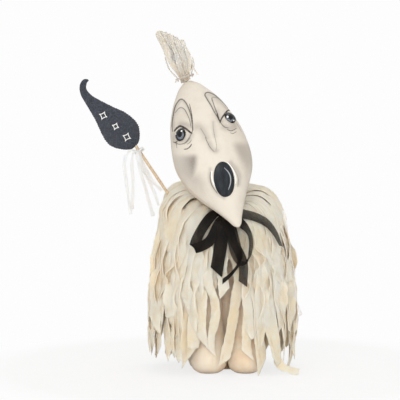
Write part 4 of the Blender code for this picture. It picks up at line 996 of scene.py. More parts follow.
def make_loose_strips():
    """Loose strips over the sewn ones, more twisted and with hems of their own, and the two that
    stand clear of the robe."""
    chance = np.random.default_rng(5)
    # The broad strips reach the neck; the narrow ones start lower down
    broad = np.r_[-100, -79, np.linspace(-72, -22, 7), np.linspace(27, 88, 9),
                  np.linspace(100, 252, 16)]
    narrow = np.r_[np.linspace(-78, -14, 10), np.linspace(20, 84, 10)]
    for number, degree in enumerate(np.r_[broad, narrow]):
        lower = number >= len(broad)
        front = math.cos(math.radians(degree))
        side_room = abs(math.sin(math.radians(degree)))
        width = (chance.uniform(8, 12) if lower else chance.uniform(11.5, 18)) * MM
        hem = chance.uniform(14, 62) * MM
        if not lower and abs(degree) < 60:
            hem = chance.uniform(26, 96) * MM
        lean = chance.uniform(-6, 6) + 2.5 * math.sin(math.radians(degree))
        sway = [math.radians(degree + chance.uniform(-2, 2)), math.radians(degree + lean),
                math.radians(degree + 1.6 * lean + chance.uniform(-2, 2))]
        if abs(sway[0] - STICK_SIDE) < STICK_GAP or abs(sway[0] + math.pi / 2) < STICK_GAP:
            sway[0] += math.copysign(STICK_GAP, front + 0.01)
        under_ribbon = not lower and 15 < degree < 75  # the ribbon's right tail lies on these
        lift = ((3.2 if lower or under_ribbon else 4.2) + chance.uniform(0, 1.2)
                - 0.9 * side_room) * MM
        cut = HEM_CUTS[chance.integers(len(HEM_CUTS))]
        start = chance.uniform(38, 66) * MM if lower else chance.uniform(1, 9) * MM
        grid, maps = torn_strip(chance, sway, hem, 0.0, width, lift, 1.3, cut,
                                chance.uniform(0.0, 0.12), start, neck=width * 0.8,
                                free=(0.8, 1.3) if under_ribbon else (0.12, 0.9))
        hang_strip(f"loose_strip_{number + 1:02d}", grid, maps)
    routes = {
        # Far side's pale strip that stands clear, and the hem end that lies out on the floor
        "side_strip": (((60, -8, 160), (65.5, -10, 140), (69.5, -11, 112), (72.5, -12, 86),
                        (74.5, -12, 68), (80, -13, 55)), 6.2, 3.4, PALE_MUSLIN),
        "floor_strip": (((50, -38, 60), (53, -40, 40), (54, -42, 22), (57, -44, 10),
                         (66, -46, 5), (76, -47, 2.4)), 7.4, 8.4, ROBE_MUSLIN),
    }
    for name, (corners, width, end_width, cloth) in routes.items():
        path = curve(np.array(corners) * MM, 60)
        t = np.linspace(0, 1, 60)
        turn = 0.5 + 1.1 * np.sin(t * 5.0)
        across = np.stack([np.cos(turn), -np.sin(turn) * 0.8, 0.25 + 0 * turn], axis=1)
        widths = (width + (end_width - width) * t) * MM * (1 + 0.1 * np.sin(t * 21))
        rag = torn_edges(t, chance, 4, 4, 20, 0.35 * MM)
        grid = ribbon_grid(path, across, widths, 7, 0.8 * MM * np.sin(t * 9), rag)
        grid[..., 2] = np.maximum(grid[..., 2], FLOOR_GAP)
        edge = np.abs(places_across(7))[None, :] ** 6 + 0 * t[:, None]
        piece = cloth_sheets(name, [grid], CLOTH, cloth, {"tan_and_shade": 0 * edge, "fray": edge})


# Ribbon bow

RIBBON, RIBBON_WIDTH, RIBBON_GAP = 0.6 * MM, 11 * MM, 1.2 * MM
TURN_WEIGHT, RIBBON_LIFT = 0.01 * MM, 0.6 * MM
KNOT, KNOT_HALF = np.array([3.5, -42.3, 163.6]) * MM, np.array([5.4, 2.5, 2.6]) * MM
BOW_ROWS, BOW_COLUMNS, ORGANZA = 110, 15, 0.3 * MM
# For a run that stands further off the robe, in mm, and narrows: its width's share at its start,
# and how much of that it loses by its end
NARROWING_RUNS = {"right_tail": (1.2, 1.12, 0.62)}
# Each run: start at the knot, route over the robe as across, up and stand-off, end at the knot,
# its width's direction at each of these places, the share of the ribbon's width that it keeps,
# and how much it is folded double
BOW_RUNS = {
    "left_loop": (
        ((-1, -1, -0.5), (-11.5, -8, -3.6)),
        ((-20.6, -13.4, 6.5), (-28.4, -27, 8), (-31, -34.4, 7.2), (-31.6, -36.4, 5),
         (-30, -37, 2.6), (-23.5, -34.8, 1.3), (-15.4, -29, 1.3)),
        ((-7.5, -15, -13.6), (-3.5, -8.7, -8.6), (-0.5, -1, -1)),
        ((0.67, -0.6, -0.44), (0.75, -0.4, -0.5), (0.82, 0, -0.57), (0.8, 0, -0.6),
         (0.75, 0, -0.66), (0.7, 0, -0.71), (0.66, 0, -0.75), (0.64, 0, -0.77),
         (0.66, 0, -0.75), (0.75, -0.2, -0.65), (0.8, -0.3, -0.5), (0.8, -0.3, -0.5)),
        0.9, 0.78,
    ),
    "right_loop": (
        ((1, -1, -1), (2.5, -6.7, -5.1)),
        ((3.8, -16.1, 6.5), (7.8, -31.4, 8), (10.2, -42, 8), (13.4, -49.6, 7.4),
         (19.2, -49.2, 6.4), (22.8, -43, 5.6), (24.5, -34, 5.2), (23.7, -25.6, 5),
         (20.9, -19.6, 4.4)),
        ((16.9, -12.2, -14.8), (11.4, -10.2, -9.6), (2, -1.5, -1)),
        ((0.85, 0.45, 0.33), (0.9, 0.3, 0.35), (0.93, 0, 0.36), (0.93, 0, 0.36),
         (0.86, 0.42, 0.29), (0.35, 0.87, 0.36), (0.1, 0.98, 0.14), (0.3, 0.95, 0),
         (0.35, 0.93, 0), (0.35, 0.93, 0.1), (0.35, 0.85, 0.25), (0.45, 0.75, 0.4),
         (0.5, 0.65, 0.45), (0.5, 0.6, 0.5)),
        1.08, 0.6,
    ),
    "middle_tail": (
        ((0, -1.5, -1), (-0.7, -7, -5)),
        ((-3, -15.3, 3.4), (-4.7, -29.8, 2.2), (-9.6, -60, 1.2)),
        (),
        ((1, 0, 0.05), (1, 0, 0.05), (1, 0, 0), (1, 0.1, -0.05), (1, 0.1, -0.1)),
        1.15, 0.85,
    ),
    "right_tail": (
        ((2, 0, 0), (10, -3, -1.5), (17.3, -5.5, -4)),
        ((27.8, -6.8, 2), (39.8, -12.9, 1.5), (48.9, -23.6, 1.5), (55, -36.7, 1.5)),
        (),
        ((0, 0.82, 0.57), (0, 0.75, 0.65), (0.1, 0.4, 0.9), (0.15, 0.2, 0.95),
         (0.3, 0.1, 0.9), (0.55, 0.45, 0.6), (0.4, 0.8, 0.35)),
        0.9, 0.0,
    ),
    "low_tail": (
        ((1.7, -1.2, -1.4), (2.3, -6.3, -5.6)),
        ((5.8, -27, 1), (13.6, -42.5, 1), (17, -54.2, 1), (16.3, -71.5, 1)),
        (),
        ((1, 0.15, 0.1), (1, 0.15, 0.1), (1, 0.1, 0.1), (1, 0.05, 0), (1, 0, 0), (1, 0, 0)),
        0.8, 0.1,
    ),
    "crossed_tail": (
        ((0.9, -0.5, -0.8), (3.4, -7.7, -4.9)),
        ((6.8, -26.9, 2.6), (13.1, -47.2, 3), (6.7, -59.6, 3), (-3.6, -68.8, 2)),
        (),
        ((0.9, 0.1, 0.3), (0.9, 0.1, 0.3), (0.9, 0.2, 0.3), (0.6, 0.6, 0.2),
         (0.3, 0.8, -0.5), (0.5, 0.6, -0.6)),
        0.5, 0.85,
    ),
    "neck_left": (
        ((-0.6, 0.1, 0.2), (-9.5, 2.8, 1.4), (-19.1, 25.8, 13.4), (-21.9, 42.3, 19.4),
         (-14.5, 56.8, 23.4), (-3, 62.3, 24.4)),
        (),
        (),
        ((0.1, 0.8, 0.6), (0.2, 0.1, 1), (0.2, 0.1, 1), (0.15, 0, 1), (0.1, -0.1, 1),
         (0, -0.1, 1)),
        0.5, 0.6,
    ),
    "neck_right": (
        ((0.5, 0.4, 0.1), (6.5, 2.9, -0.7), (12.3, 25.8, 10.9), (14.9, 42.3, 17.4),
         (7.5, 56.8, 22.9), (-4, 62.3, 24.4)),
        (),
        (),
        ((-0.1, 0.8, 0.6), (-0.2, 0.1, 1), (-0.2, 0.1, 1), (-0.15, 0, 1), (-0.1, -0.1, 1),
         (0, -0.1, 1)),
        0.5, 0.6,
    ),
}


def over_robe(x, z, off):
    """The point this far off the robe's outermost strips at a place across and up: angle and fall
    are corrected until the robe's point lies there."""
    lift = LAYER_STEP * 3 + (0.8 * MM + RIBBON) / 2 + RIBBON_GAP + off + RIBBON_LIFT
    angle, fall = 0.0, SHOULDER_FALL
    for _ in range(40):
        point = robe_point(angle, fall, lift)
        angle = angle + (x - point[0]) / math.hypot(point[0], point[1])
        fall = max(fall + point[2] - z, SHOULDER_FALL / 2)
    return point


def make_bow():
    """The ribbon's loops, tails and neck band as sheets of organza, and the wrapped knot."""
    for number, (name, run) in enumerate(BOW_RUNS.items()):
        start, route, finish_at, turns, share, folded = run
        proud, wide, lost = NARROWING_RUNS.get(name, (0.0, 1.0, 0.0))
        chance = np.random.default_rng(40 + number)
        corners = [KNOT + np.array(c) * MM for c in start]
        for x, z, off in route:
            corners.append(over_robe(KNOT[0] + x * MM, KNOT[2] + z * MM, (off + proud) * MM))
        corners += [KNOT + np.array(c) * MM for c in finish_at]
        rows = curve(np.concatenate([corners, np.array(turns) * TURN_WEIGHT], axis=1), BOW_ROWS)
        centres, across = rows[:, :3], rows[:, 3:] / TURN_WEIGHT
        t = np.linspace(0, 1, BOW_ROWS)
        closing = 1 - 0.45 * np.exp(-(t / 0.08) ** 2)
        if finish_at:
            closing = closing - 0.45 * np.exp(-((1 - t) / 0.08) ** 2)
        widths = RIBBON_WIDTH * share * closing * (1 + 0.04 * ripple(t, chance, 2, 1, 3))
        widths = widths * (wide - lost * t)
        cup = 0.9 * MM * ripple(t, chance, 2, 0.8, 2.4) * share
        grid = ribbon_grid(centres, across, widths, BOW_COLUMNS, cup)
        s = places_across(BOW_COLUMNS)[None, :]
        along, _, up = cloth_axes(centres, across)
        gathered = (np.exp(-(t / 0.16) ** 2) + (np.exp(-((1 - t) / 0.16) ** 2) if finish_at else 0))
        pleats = np.cos(s * 9.0) * 0.5 * MM * gathered[:, None]
        grid = grid + up[:, None] * pleats[..., None]
        if not finish_at and not name.startswith("neck"):
            cut = step((t - 0.93) / 0.07)[:, None] * s * widths[:, None] * 0.32
            grid = grid + along[:, None] * cut[..., None]
        grid[..., 2] = np.maximum(grid[..., 2], FLOOR_GAP)
        edge = np.abs(s) ** 3 + 0 * t[:, None]
        dense = np.clip(folded + 0.7 * gathered[:, None] + 0 * s, 0, 1)
        piece = cloth_sheets(f"ribbon_{name}", [grid], ORGANZA, RIBBON_SHEER,
                             {"edge": edge, "folded": dense})
        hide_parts("neck_bow")
    turn = np.linspace(0, 2 * math.pi, 72, endpoint=False)[None, :]
    rise = np.linspace(-1, 1, 40)[:, None]
    swell = np.sqrt(np.clip(1 - rise**2, 0.01, 1)) ** 0.7
    wrap = (1 + 0.06 * np.cos(15.4 * rise + 1.3 * np.sin(turn))
            + 0.03 * np.cos(turn * 5 + rise * 4))
    rings = np.stack([KNOT[0] + KNOT_HALF[0] * swell * wrap * np.sin(turn),
                      KNOT[1] - KNOT_HALF[1] * swell * wrap * np.cos(turn),
                      KNOT[2] + KNOT_HALF[2] * rise + 0.3 * MM * np.sin(turn)], axis=-1)
    knot = closed_skin("ribbon_knot", rings, RIBBON_SHEER,
                       {"edge": np.ones(rings.shape[:2]), "folded": np.ones(rings.shape[:2])})
    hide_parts("neck_bow")


# Sign, stick and streamers

STICK_DIAMETER = 3.2 * MM
STICK_TOP, STICK_FOOT = np.array([-93.5, -1, 235.4]) * MM, np.array([-11.6, -1, 114]) * MM
SIGN_THICKNESS = 9 * MM
# Across and up of the sign's left edge and of its right edge, from its foot to its tail's tip,
# in mm
SIGN_EDGES = np.array((
    (-90.9, 222.4, -87.9, 224.8), (-96.0, 221.8, -84.6, 228.4), (-101.5, 222.3, -83.1, 233.5),
    (-107.1, 223.5, -83.0, 238.8), (-112.7, 226.1, -83.8, 244.6), (-117.2, 230.7, -86.5, 249.9),
    (-121.3, 237.8, -91.9, 255.3), (-124.7, 245.3, -99.4, 260.5),
    (-128.8, 253.8, -109.6, 265.0), (-138.2, 269.7, -128.2, 274.6),
    (-142.1, 276.7, -134.9, 280.3), (-143.6, 283.9, -136.9, 284.2),
    (-142.3, 289.6, -136.6, 287.8), (-139.1, 292.9, -135.8, 289.9),
    (-135.3, 293.0, -134.2, 291.6),
))
STREAMER_WIDTH, STREAMER_DRIFT, TIE_THICKNESS = 2.9 * MM, 0.7 * MM, 2.2 * MM
TIE_CENTRE = np.array([-83.4, -1, 220.4]) * MM
# Across and up from the knot's centre, in mm
STREAMER_ROUTES = (
    ((1, 1), (2, -6), (5, -14), (13.1, -29.2), (22.8, -40)),
    ((0.5, 1), (0.6, -7), (3.3, -17.7), (12.1, -34.1), (19.9, -54.6)),
    ((0, 1), (-2.4, -4.9), (1.4, -19.6), (5.3, -34.1), (14.1, -65.2)),
    ((-0.5, 1), (-5.6, -1), (-7.3, -14.7), (-5.9, -34.1), (-7.3, -58.4)),
    ((-1, 1.5), (-9.4, 0.2), (-14.6, -10), (-12.6, -32), (-8.3, -63.2)),
)
STAR_POWER = 0.66
# Centre in the frame and size of each star
STARS = (((103.2, 115.6), 4.4), ((115.6, 126.4), 3.9), ((126.8, 137.0), 4.6))


def star_outline(place, centre, size, lean=0.35):
    """The outline of a four-pointed star: near zero of |x|^p + |y|^p - size^p with p = 0.66,
    divided by its slope."""
    q = place - np.array(centre)
    c, s = math.cos(lean), math.sin(lean)
    x, y = np.abs(q[..., 0] * c + q[..., 1] * s), np.abs(q[..., 1] * c - q[..., 0] * s)
    field = (x + 0.05) ** STAR_POWER + (y + 0.05) ** STAR_POWER - size**STAR_POWER
    slope = STAR_POWER * np.hypot((x + 0.25) ** (STAR_POWER - 1), (y + 0.25) ** (STAR_POWER - 1))
    return np.clip(1 - np.abs(field) / slope / 0.75, 0, 1)


def make_sign():
    """The felt sign: an ellipse carried up its middle line, with a pinched seam on its edges and a
    front painted with three star outlines."""
    count = 300
    line = curve(SIGN_EDGES * MM, count)
    left, right = (np.stack([line[:, k], np.full(count, STICK_TOP[1]), line[:, k + 1]], axis=1)
                   for k in (0, 2))
    centres, side = (left + right) / 2, unit(right - left)
    width = np.linalg.norm(right - left, axis=1)
    turn = np.linspace(0, 2 * math.pi, 180, endpoint=False)
    thick = SIGN_THICKNESS * np.sqrt(width / width.max())
    c, s = np.cos(turn)[None, :], np.sin(turn)[None, :]
    crowned = np.sign(s) * np.abs(s) ** 0.85
    seam = np.exp(-(s / 0.09) ** 2)
    chance = np.random.default_rng(3)
    t = np.linspace(0, 1, count)[:, None]
    puff = 1 + 0.05 * np.sin(t * 31 + 2 * c) + 0.03 * np.sin(t * 57 + 3 * s)
    reach = width[:, None] / 2 * (1 + 0.018 * np.sin(t * 260) * seam + 0.006 * np.sin(t * 90))
    rings = (centres[:, None] + side[:, None] * (c * reach)[..., None]
             + np.array([0.0, 1.0, 0.0]) * (crowned * thick[:, None] / 2 * puff)[..., None])
    fuzz = chance.normal(0, 0.06 * MM, rings.shape[:2])
    rings = rings + unit(rings - centres[:, None]) * fuzz[..., None]
    place = front_place(rings)
    facing = (rings[..., 1] < STICK_TOP[1]).astype(float)
    stars = np.zeros(place.shape[:-1])
    for centre, size in STARS:
        stars = np.maximum(stars, star_outline(place, centre, size))
    sign = closed_skin("felt_sign", rings, FELT, {"stars": stars * facing})
    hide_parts("sign")


def make_stick():
    """The wooden dowel: a round of slightly uneven radius along its line."""
    path = STICK_TOP + (STICK_FOOT - STICK_TOP) * np.linspace(0, 1, 80)[:, None]
    chance = np.random.default_rng(8)
    radius = STICK_DIAMETER / 2 * (1 + 0.02 * ripple(np.linspace(0, 1, 80), chance, 3, 2, 9))
    stick = closed_skin("birch_stick", tube(path, radius, 24), DOWEL, {},
                        STICK_TOP, STICK_FOOT)
    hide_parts("stick")


def make_streamers():
    """The knotted rag under the sign and its hanging streamers: narrow torn strips that turn."""
    down = unit(STICK_FOOT - STICK_TOP)
    bore = STICK_DIAMETER / 2 + CLEARANCE
    front = bore + 2 * TIE_THICKNESS + CLEARANCE + 0.4 * MM
    grids, tan_and_shade, fray = [], [], []
    for number, route in enumerate(STREAMER_ROUTES):
        chance = np.random.default_rng(60 + number)
        forward = front + number * 1.1 * MM
        corners = [TIE_CENTRE + np.array([x * MM, k * STREAMER_DRIFT - forward, z * MM])
                   for k, (x, z) in enumerate(route)]
        rows = 70
        path, t = curve(corners, rows), np.linspace(0, 1, rows)
        turn = 0.9 * ripple(t, chance, 2, 0.5, 1.6) * step(t / 0.3)
        across = np.stack([np.cos(turn), np.sin(turn), 0.15 * np.sin(turn)], axis=1)
        widths = STREAMER_WIDTH * (0.62 + 0.5 * step(t / 0.4))
        widths = widths * (1 + 0.12 * ripple(t, chance, 3, 2, 7))
        widths = widths * (1 + 0.3 * step((t - 0.8) / 0.2) * (number in (2, 3)))
        rag = torn_edges(t, chance, 3, 5, 20, 0.2 * MM)
        grid = ribbon_grid(path, across, widths, 7, 0.5 * MM * ripple(t, chance, 2, 1, 3), rag)
        grids.append(grid)
        s = np.abs(places_across(7))[None, :]
        # darker just below the knot, by 0.12 at most
        tan_and_shade.append((0.12 * np.exp(-(t / 0.1) ** 2))[:, None] + 0 * s)
        fray.append(s**6 + step((t - 0.95) / 0.05)[:, None])
    piece = cloth_sheets("pale_streamers", grids, 0.35 * MM, PALE_MUSLIN,
                         {"tan_and_shade": np.concatenate([x.ravel() for x in tan_and_shade]),
                          "fray": np.clip(np.concatenate([x.ravel() for x in fray]), 0, 1)})
    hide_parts(*[f"streamer_{k}" for k in range(1, 6)])
    radius = bore + TIE_THICKNESS
    side = unit(np.cross(down, [0.0, 1.0, 0.0]))
    up = unit(np.cross(side, down))
    turn = np.linspace(0, 2 * math.pi * 2.0, 150)
    ring = (side * np.cos(turn)[:, None] + up * np.sin(turn)[:, None]) * (radius - 0.25 * MM)
    slide = down * ((turn / turn[-1] - 0.5) * 1.7 * MM)[:, None]
    wrapped = tube(TIE_CENTRE + ring + slide, 1.55 * MM * (1 + 0.1 * np.sin(turn * 3.7)), 20, 0.8)
    crease = 1 + 0.07 * np.cos(np.linspace(0, 2 * math.pi, 20, endpoint=False) * 5)[None, :, None]
    centre = wrapped.mean(axis=1, keepdims=True)
    tie = closed_skin("knotted_rag", centre + (wrapped - centre) * crease, PALE_MUSLIN,
                      plain_cloth(wrapped, 0.25))
    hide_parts("sign_tie")


# Topknot

TOPKNOT_FOOT = np.array([-35.8, -12, 290]) * MM
TOPKNOT_MIDDLE = np.array([-44.5, -11, 318]) * MM
TOPKNOT_TIP = np.array([-56.5, -11.5, 342]) * MM
TOPKNOT_STRIP, TIE_DEPTH, TIE_STRETCH, THREAD = 7 * MM, 6.8 * MM, 1.38, 0.8 * MM
# Place across, height's share, place forward, foot's height, width's share, depth's share
TOPKNOT_LOOPS = (
    (-7.4, 0.99, 0.6, 0.2, 1.05, 1.0), (0.4, 0.86, 0.8, 0.7, 1.1, 0.7),
    (7.4, 0.72, 0.4, 1.3, 1.05, 0.9), (-3.6, 0.95, -2.2, 0.5, 0.85, 0.45),
    (4.2, 0.8, -2.6, 0.9, 0.85, 0.55), (-0.6, 0.9, -4.4, 0.8, 0.6, 0.25),
)
# A loop's one side: share of its place across, share of its height, depth in mm
LOOP_SIDE = ((0.42, 0.0, 3.2), (0.42, 0.13, 3.3), (0.85, 0.35, 5.2), (1.0, 0.6, 5.6),
             (1.0, 0.88, 4.2))
TUCKED = (TIE_DEPTH * TIE_STRETCH - THREAD - 0.6 * MM - 0.4 * MM) / MM
# The loose ends: across, back and up from the topknot's foot, in mm
TOPKNOT_ENDS = (
    ((-13.2, -3, 30), (-12.8, -2, 18), (-10, -1, 11), (-TUCKED, 0, 6.5), (-TUCKED, 0, 2.5)),
    ((13.0, -3, 22), (12.6, -2, 14), (10, -1, 10.5), (TUCKED, 0, 6.5), (TUCKED, 0, 2.5)),
    ((10.5, -3, 25), (10.8, -3, 18), (11.4, -3.4, 10), (13.2, -4, 3.2)),
    ((-10.6, -4, 2.5), (-8.4, -3.8, 4.4), (-6, -3.6, 5)),
)


def make_topknot():
    """Torn strips looped over on the crown, their loose ends, and the thread round their foot."""
    up = unit(TOPKNOT_MIDDLE - TOPKNOT_FOOT)
    across = unit(np.cross(up, [0.0, 1.0, 0.0]))
    across = across * np.sign(across[0])
    deep = np.array([0.0, 1.0, 0.0])
    rise = [(a, b, -c) for a, b, c in LOOP_SIDE] + [(0.9, 1.0, 0.0)] + list(LOOP_SIDE[::-1])
    grids, tan_and_shade_maps, frays = [], [], []
    for number, (aside, height, forward, foot, share, full) in enumerate(TOPKNOT_LOOPS):
        chance = np.random.default_rng(80 + number)
        spine = np.array([TOPKNOT_FOOT + up * foot * MM, TOPKNOT_MIDDLE, TOPKNOT_TIP])
        dense = curve(spine, 200)
        corners = []
        for spread, at, depth in rise:
            k = min(int(at * height * 199), 199)
            sway = 0.8 * MM * chance.uniform(-1, 1) * (0.1 < at)
            corners.append(dense[k] + (across * aside * spread
                                       + deep * (depth * full + forward)) * MM + across * sway)
        rows = 90
        path, t = curve(corners, rows), np.linspace(0, 1, rows)
        pinch = 0.42 + 0.58 * step(np.minimum(t, 1 - t) / 0.27)
        widths = TOPKNOT_STRIP * 1.15 * share * pinch * (1 + 0.1 * ripple(t, chance, 3, 1.5, 5))
        turn = 0.75 * ripple(t, chance, 2, 0.8, 2.2)
        turned = across * np.cos(turn)[:, None] + deep * np.sin(turn)[:, None] * 0.7
        rag = torn_edges(t, chance, 4, 3, 14, 0.3 * MM)
        cup = -1.3 * MM * (1 + 0.4 * ripple(t, chance, 2, 1.0, 3.0)) * share
        grid = ribbon_grid(path, turned, widths, 9, cup, rag)
        s = places_across(9)[None, :]
        normal = unit(np.cross(directions(path), turned))
        pleat = 0.3 * MM * np.cos(s * 4 + number) * ripple(t, chance, 2, 1, 3)[:, None]
        grids.append(grid + normal[:, None] * pleat[..., None])
        # Painted shade where each loop gathers at its foot and on one side of each strip for its
        # folds; the random part is the strip's own tone
        foot_shade = 0.55 * np.exp(-(np.minimum(t, 1 - t) / 0.11) ** 2)[:, None]
        shaded = s * math.cos(2.1 * number) + 0.3 * ripple(t, chance, 2, 1, 3)[:, None]
        fold_shade = 0.35 * step(shaded / 0.9)
        tan_and_shade_maps.append(np.clip(foot_shade + 0.25 * chance.random() + fold_shade, 0, 1))
        frays.append(np.abs(s) ** 6 + 0 * t[:, None])
    for number, offsets in enumerate(TOPKNOT_ENDS):
        chance = np.random.default_rng(95 + number)
        corners = [TOPKNOT_FOOT + (across * x + deep * y + up * z) * MM for x, y, z in offsets]
        rows = 50
        path, t = curve(corners, rows), np.linspace(0, 1, rows)
        widths = 1.7 * MM * (1 + 0.25 * ripple(t, chance, 3, 1, 5))
        turned = across * 0.6 + deep * 0.8 + 0 * path
        rag = torn_edges(t, chance, 3, 5, 20, 0.18 * MM)
        grids.append(ribbon_grid(path, turned, widths, 5, 0.3 * MM, rag))
        s = places_across(5)[None, :]
        tan_and_shade_maps.append(0.1 + 0 * s + 0 * t[:, None])
        frays.append(np.abs(s) ** 4 + 0 * t[:, None])
    piece = cloth_sheets("topknot", grids, 0.4 * MM, CROWN_MUSLIN,
                         {"tan_and_shade": np.concatenate([x.ravel() for x in tan_and_shade_maps]),
                          "fray": np.clip(np.concatenate([x.ravel() for x in frays]), 0, 1)})
    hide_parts("topknot_loop_1", "topknot_loop_2", "topknot_loop_3", "topknot_end_1",
                "topknot_end_2")
    turn = np.linspace(0, 2 * math.pi * 3, 240)
    ring = (across * np.cos(turn)[:, None] * TIE_STRETCH + deep * np.sin(turn)[:, None]) * TIE_DEPTH
    path = TOPKNOT_FOOT + up * 5.0 * MM + ring + up * ((turn / turn[-1] - 0.5) * 1.1 * MM)[:, None]
    coil = tube(path, 0.42 * MM, 10)
    thread = closed_skin("topknot_thread", coil, CROWN_MUSLIN, plain_cloth(coil, 0.2))
    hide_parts("topknot_tie")


# Body and legs

BASE_RADIUS, BELLY_HEIGHT, SHOULDER_RADIUS, SHOULDER_HEIGHT = 34 * MM, 62 * MM, 29 * MM, 116 * MM
NECK_BASE, NECK_BEND, NECK_TOP, NECK_FORWARD = 136 * MM, 184 * MM, 208 * MM, 15 * MM
BODY_BACK, BODY_FLATNESS = 13 * MM, 0.12
WEAVE_RADIUS = 20 * MM  # distance round a stuffed piece that its weave counts for each radian
# Height and half width
BODY_HALF_WIDTHS = ((0, BASE_RADIUS * 0.93), (5 * MM, BASE_RADIUS), (31 * MM, 39.5 * MM),
                    (BELLY_HEIGHT, BELLY_RADIUS), (89 * MM, 37.5 * MM),
                    (SHOULDER_HEIGHT, SHOULDER_RADIUS), (130 * MM, NECK_RADIUS + 3 * MM),
                    (NECK_BASE, NECK_RADIUS), (NECK_BEND, NECK_RADIUS))
# Height, share of the foot's half width, and how far the front lies behind the toe's tip
LEG_STATIONS = ((0.0, 0.60, 17), (3.5, 0.83, 8), (9, 0.97, 2), (17, 1.0, 0.0), (25, 0.96, 1.5),
                (33, 0.87, 5), (45, 0.80, 8), (62, 0.77, 9), (80, 0.73, 11), (92, 0.6, 15),
                (96, 0.35, 19))
LEG_SPACING, LEG_MIDDLE_X, FOOT_HALF_WIDTH, TOE_REACH, LEG_GAP = (
    36.5 * MM, 5 * MM, 18 * MM, 58 * MM, 0.5 * MM)


def body_at(height):
    """The body's set back, half width and half depth at this height."""
    back = BODY_BACK * (1 - step(height / NECK_BASE))
    half = np.interp(height, *np.array(BODY_HALF_WIDTHS).T)
    return back, half, half * (1 - BODY_FLATNESS * (1 - step(height / NECK_BASE)))


def make_body():
    """The stuffed body: ellipses up its height, with slack folds, and a neck that bends forward."""
    height = np.linspace(0.02, 1, 150) * NECK_BEND
    turn = np.linspace(0, 2 * math.pi, 120, endpoint=False)[None, :]
    back, half, deep = (np.asarray(v)[:, None] for v in body_at(height))
    slack = 1 - 0.012 * (1 + np.sin(height[:, None] * 420 + 2 * np.sin(turn * 3)))
    rings = np.stack([half * slack * np.sin(turn), back - deep * slack * np.cos(turn),
                      height[:, None] + 0 * turn], axis=-1)
    share = np.linspace(0, 1, 22)[1:, None]
    lean = math.atan2(NECK_FORWARD, NECK_TOP - NECK_BEND) * share
    x, y = NECK_RADIUS * np.sin(turn) + 0 * share, -NECK_RADIUS * np.cos(turn)
    neck = np.stack([x, -NECK_FORWARD * share**1.5 + y * np.cos(lean),
                     NECK_BEND + (NECK_TOP - NECK_BEND) * share + y * np.sin(lean)], axis=-1)
    rings = np.concatenate([rings, neck])
    base = rings[0].copy()
    base = base.mean(axis=0) + (base - base.mean(axis=0)) * 0.96
    base[:, 2] = 0.3 * MM
    rings = np.concatenate([base[None], rings[1:]])
    body = closed_skin("stuffed_body", rings, SACK_MUSLIN, plain_cloth(rings, 0.2))
    add_weave_map(body)
    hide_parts("body")


def add_weave_map(piece):
    """A UV map in metres for a closed piece: its angle round the middle as a distance, and its
    height."""
    mesh = piece.data
    points = np.zeros(len(mesh.vertices) * 3)
    mesh.vertices.foreach_get("co", points)
    points = points.reshape(-1, 3)
    corner = np.zeros(len(mesh.loops), np.int32)
    mesh.loops.foreach_get("vertex_index", corner)
    middle = points.mean(axis=0)
    around = np.arctan2(points[:, 0] - middle[0], -(points[:, 1] - middle[1])) * WEAVE_RADIUS
    uv = np.stack([around[corner], points[corner, 2]], axis=1)
    mesh.uv_layers.new(name="cloth").data.foreach_set("uv", uv.astype(np.float32).ravel())


def make_leg(name, x, seed):
    """A stuffed leg: rings that keep clear of the body behind them, a toe that sags onto its sole,
    a seam down its front and creases across the ankle."""
    table = np.array(LEG_STATIONS)
    height = np.concatenate([np.linspace(0.25, 30, 70), np.linspace(30, 96, 81)[1:]]) * MM
    share = smooth_table(list(zip(table[:, 0] * MM, table[:, 1])), height)
    behind = smooth_table(list(zip(table[:, 0] * MM, table[:, 2] * MM)), height)
    half, front = FOOT_HALF_WIDTH * share, TOE_REACH - behind
    turn = np.linspace(0, 2 * math.pi, 96, endpoint=False)
    back, half_width, half_depth = body_at(height)
    near, far = np.zeros_like(height), front - half
    for _ in range(24):
        reach = (near + far) / 2
        px = x + half[:, None] * np.sin(turn)
        py = -(front + reach)[:, None] / 2 - (front - reach)[:, None] / 2 * np.cos(turn)
        clear = np.all(np.hypot(px / (half_width + LEG_GAP)[:, None],
                                (py - back[:, None]) / (half_depth + LEG_GAP)[:, None]) > 1, axis=1)
        near, far = np.where(clear, near, reach), np.where(clear, reach, far)
    z = height[:, None]
    crease = sum(a * np.exp(-((z / MM - h - 3 * np.sin(turn + p)) / 2.2) ** 2)
                 for a, h, p in ((0.8, 38, 0.5), (0.6, 47, 2.0), (0.5, 58, 3.6)))
    front_side = np.clip(np.cos(turn), 0, 1)[None, :]
    lump = (1 + 0.012 * np.sin(z * 160 + 2 * np.sin(turn * 2 + seed))
            + 0.01 * np.sin(turn * 5 + seed))
    pull = lump - 0.03 * crease * front_side - 0.02 * np.exp(-((turn - 0.25) / 0.06) ** 2)[None, :]
    px = x + (half[:, None] * pull) * np.sin(turn)
    py = -(front + far)[:, None] / 2 - (front - far)[:, None] / 2 * np.cos(turn) * pull
    rings = np.stack([px, py, z + 0 * turn], axis=-1)
    # A little tan, more on the upper leg; painted shade in the ankle creases on the front and low
    # down towards the floor
    leg_tan_and_shade = np.clip(0.03 + 0.16 * step((z - 34 * MM) / (30 * MM)) + 0.25 * crease * front_side
                   + 0.55 * (1 - step((z + 5 * MM * np.cos(turn)) / (13 * MM))), 0, 1) + 0 * turn
    leg = closed_skin(name, rings, SACK_MUSLIN, {"tan_and_shade": leg_tan_and_shade, "fray": 0 * leg_tan_and_shade})
    add_weave_map(leg)
    return leg


def make_legs():
    """The two stuffed legs, side by side."""
    for side, node in ((-1, "leg_left"), (1, "leg_right")):
        leg = make_leg(f"stuffed_{node}", LEG_MIDDLE_X + side * LEG_SPACING / 2, 5 + side)
        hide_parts(node)


# Floor, light and camera

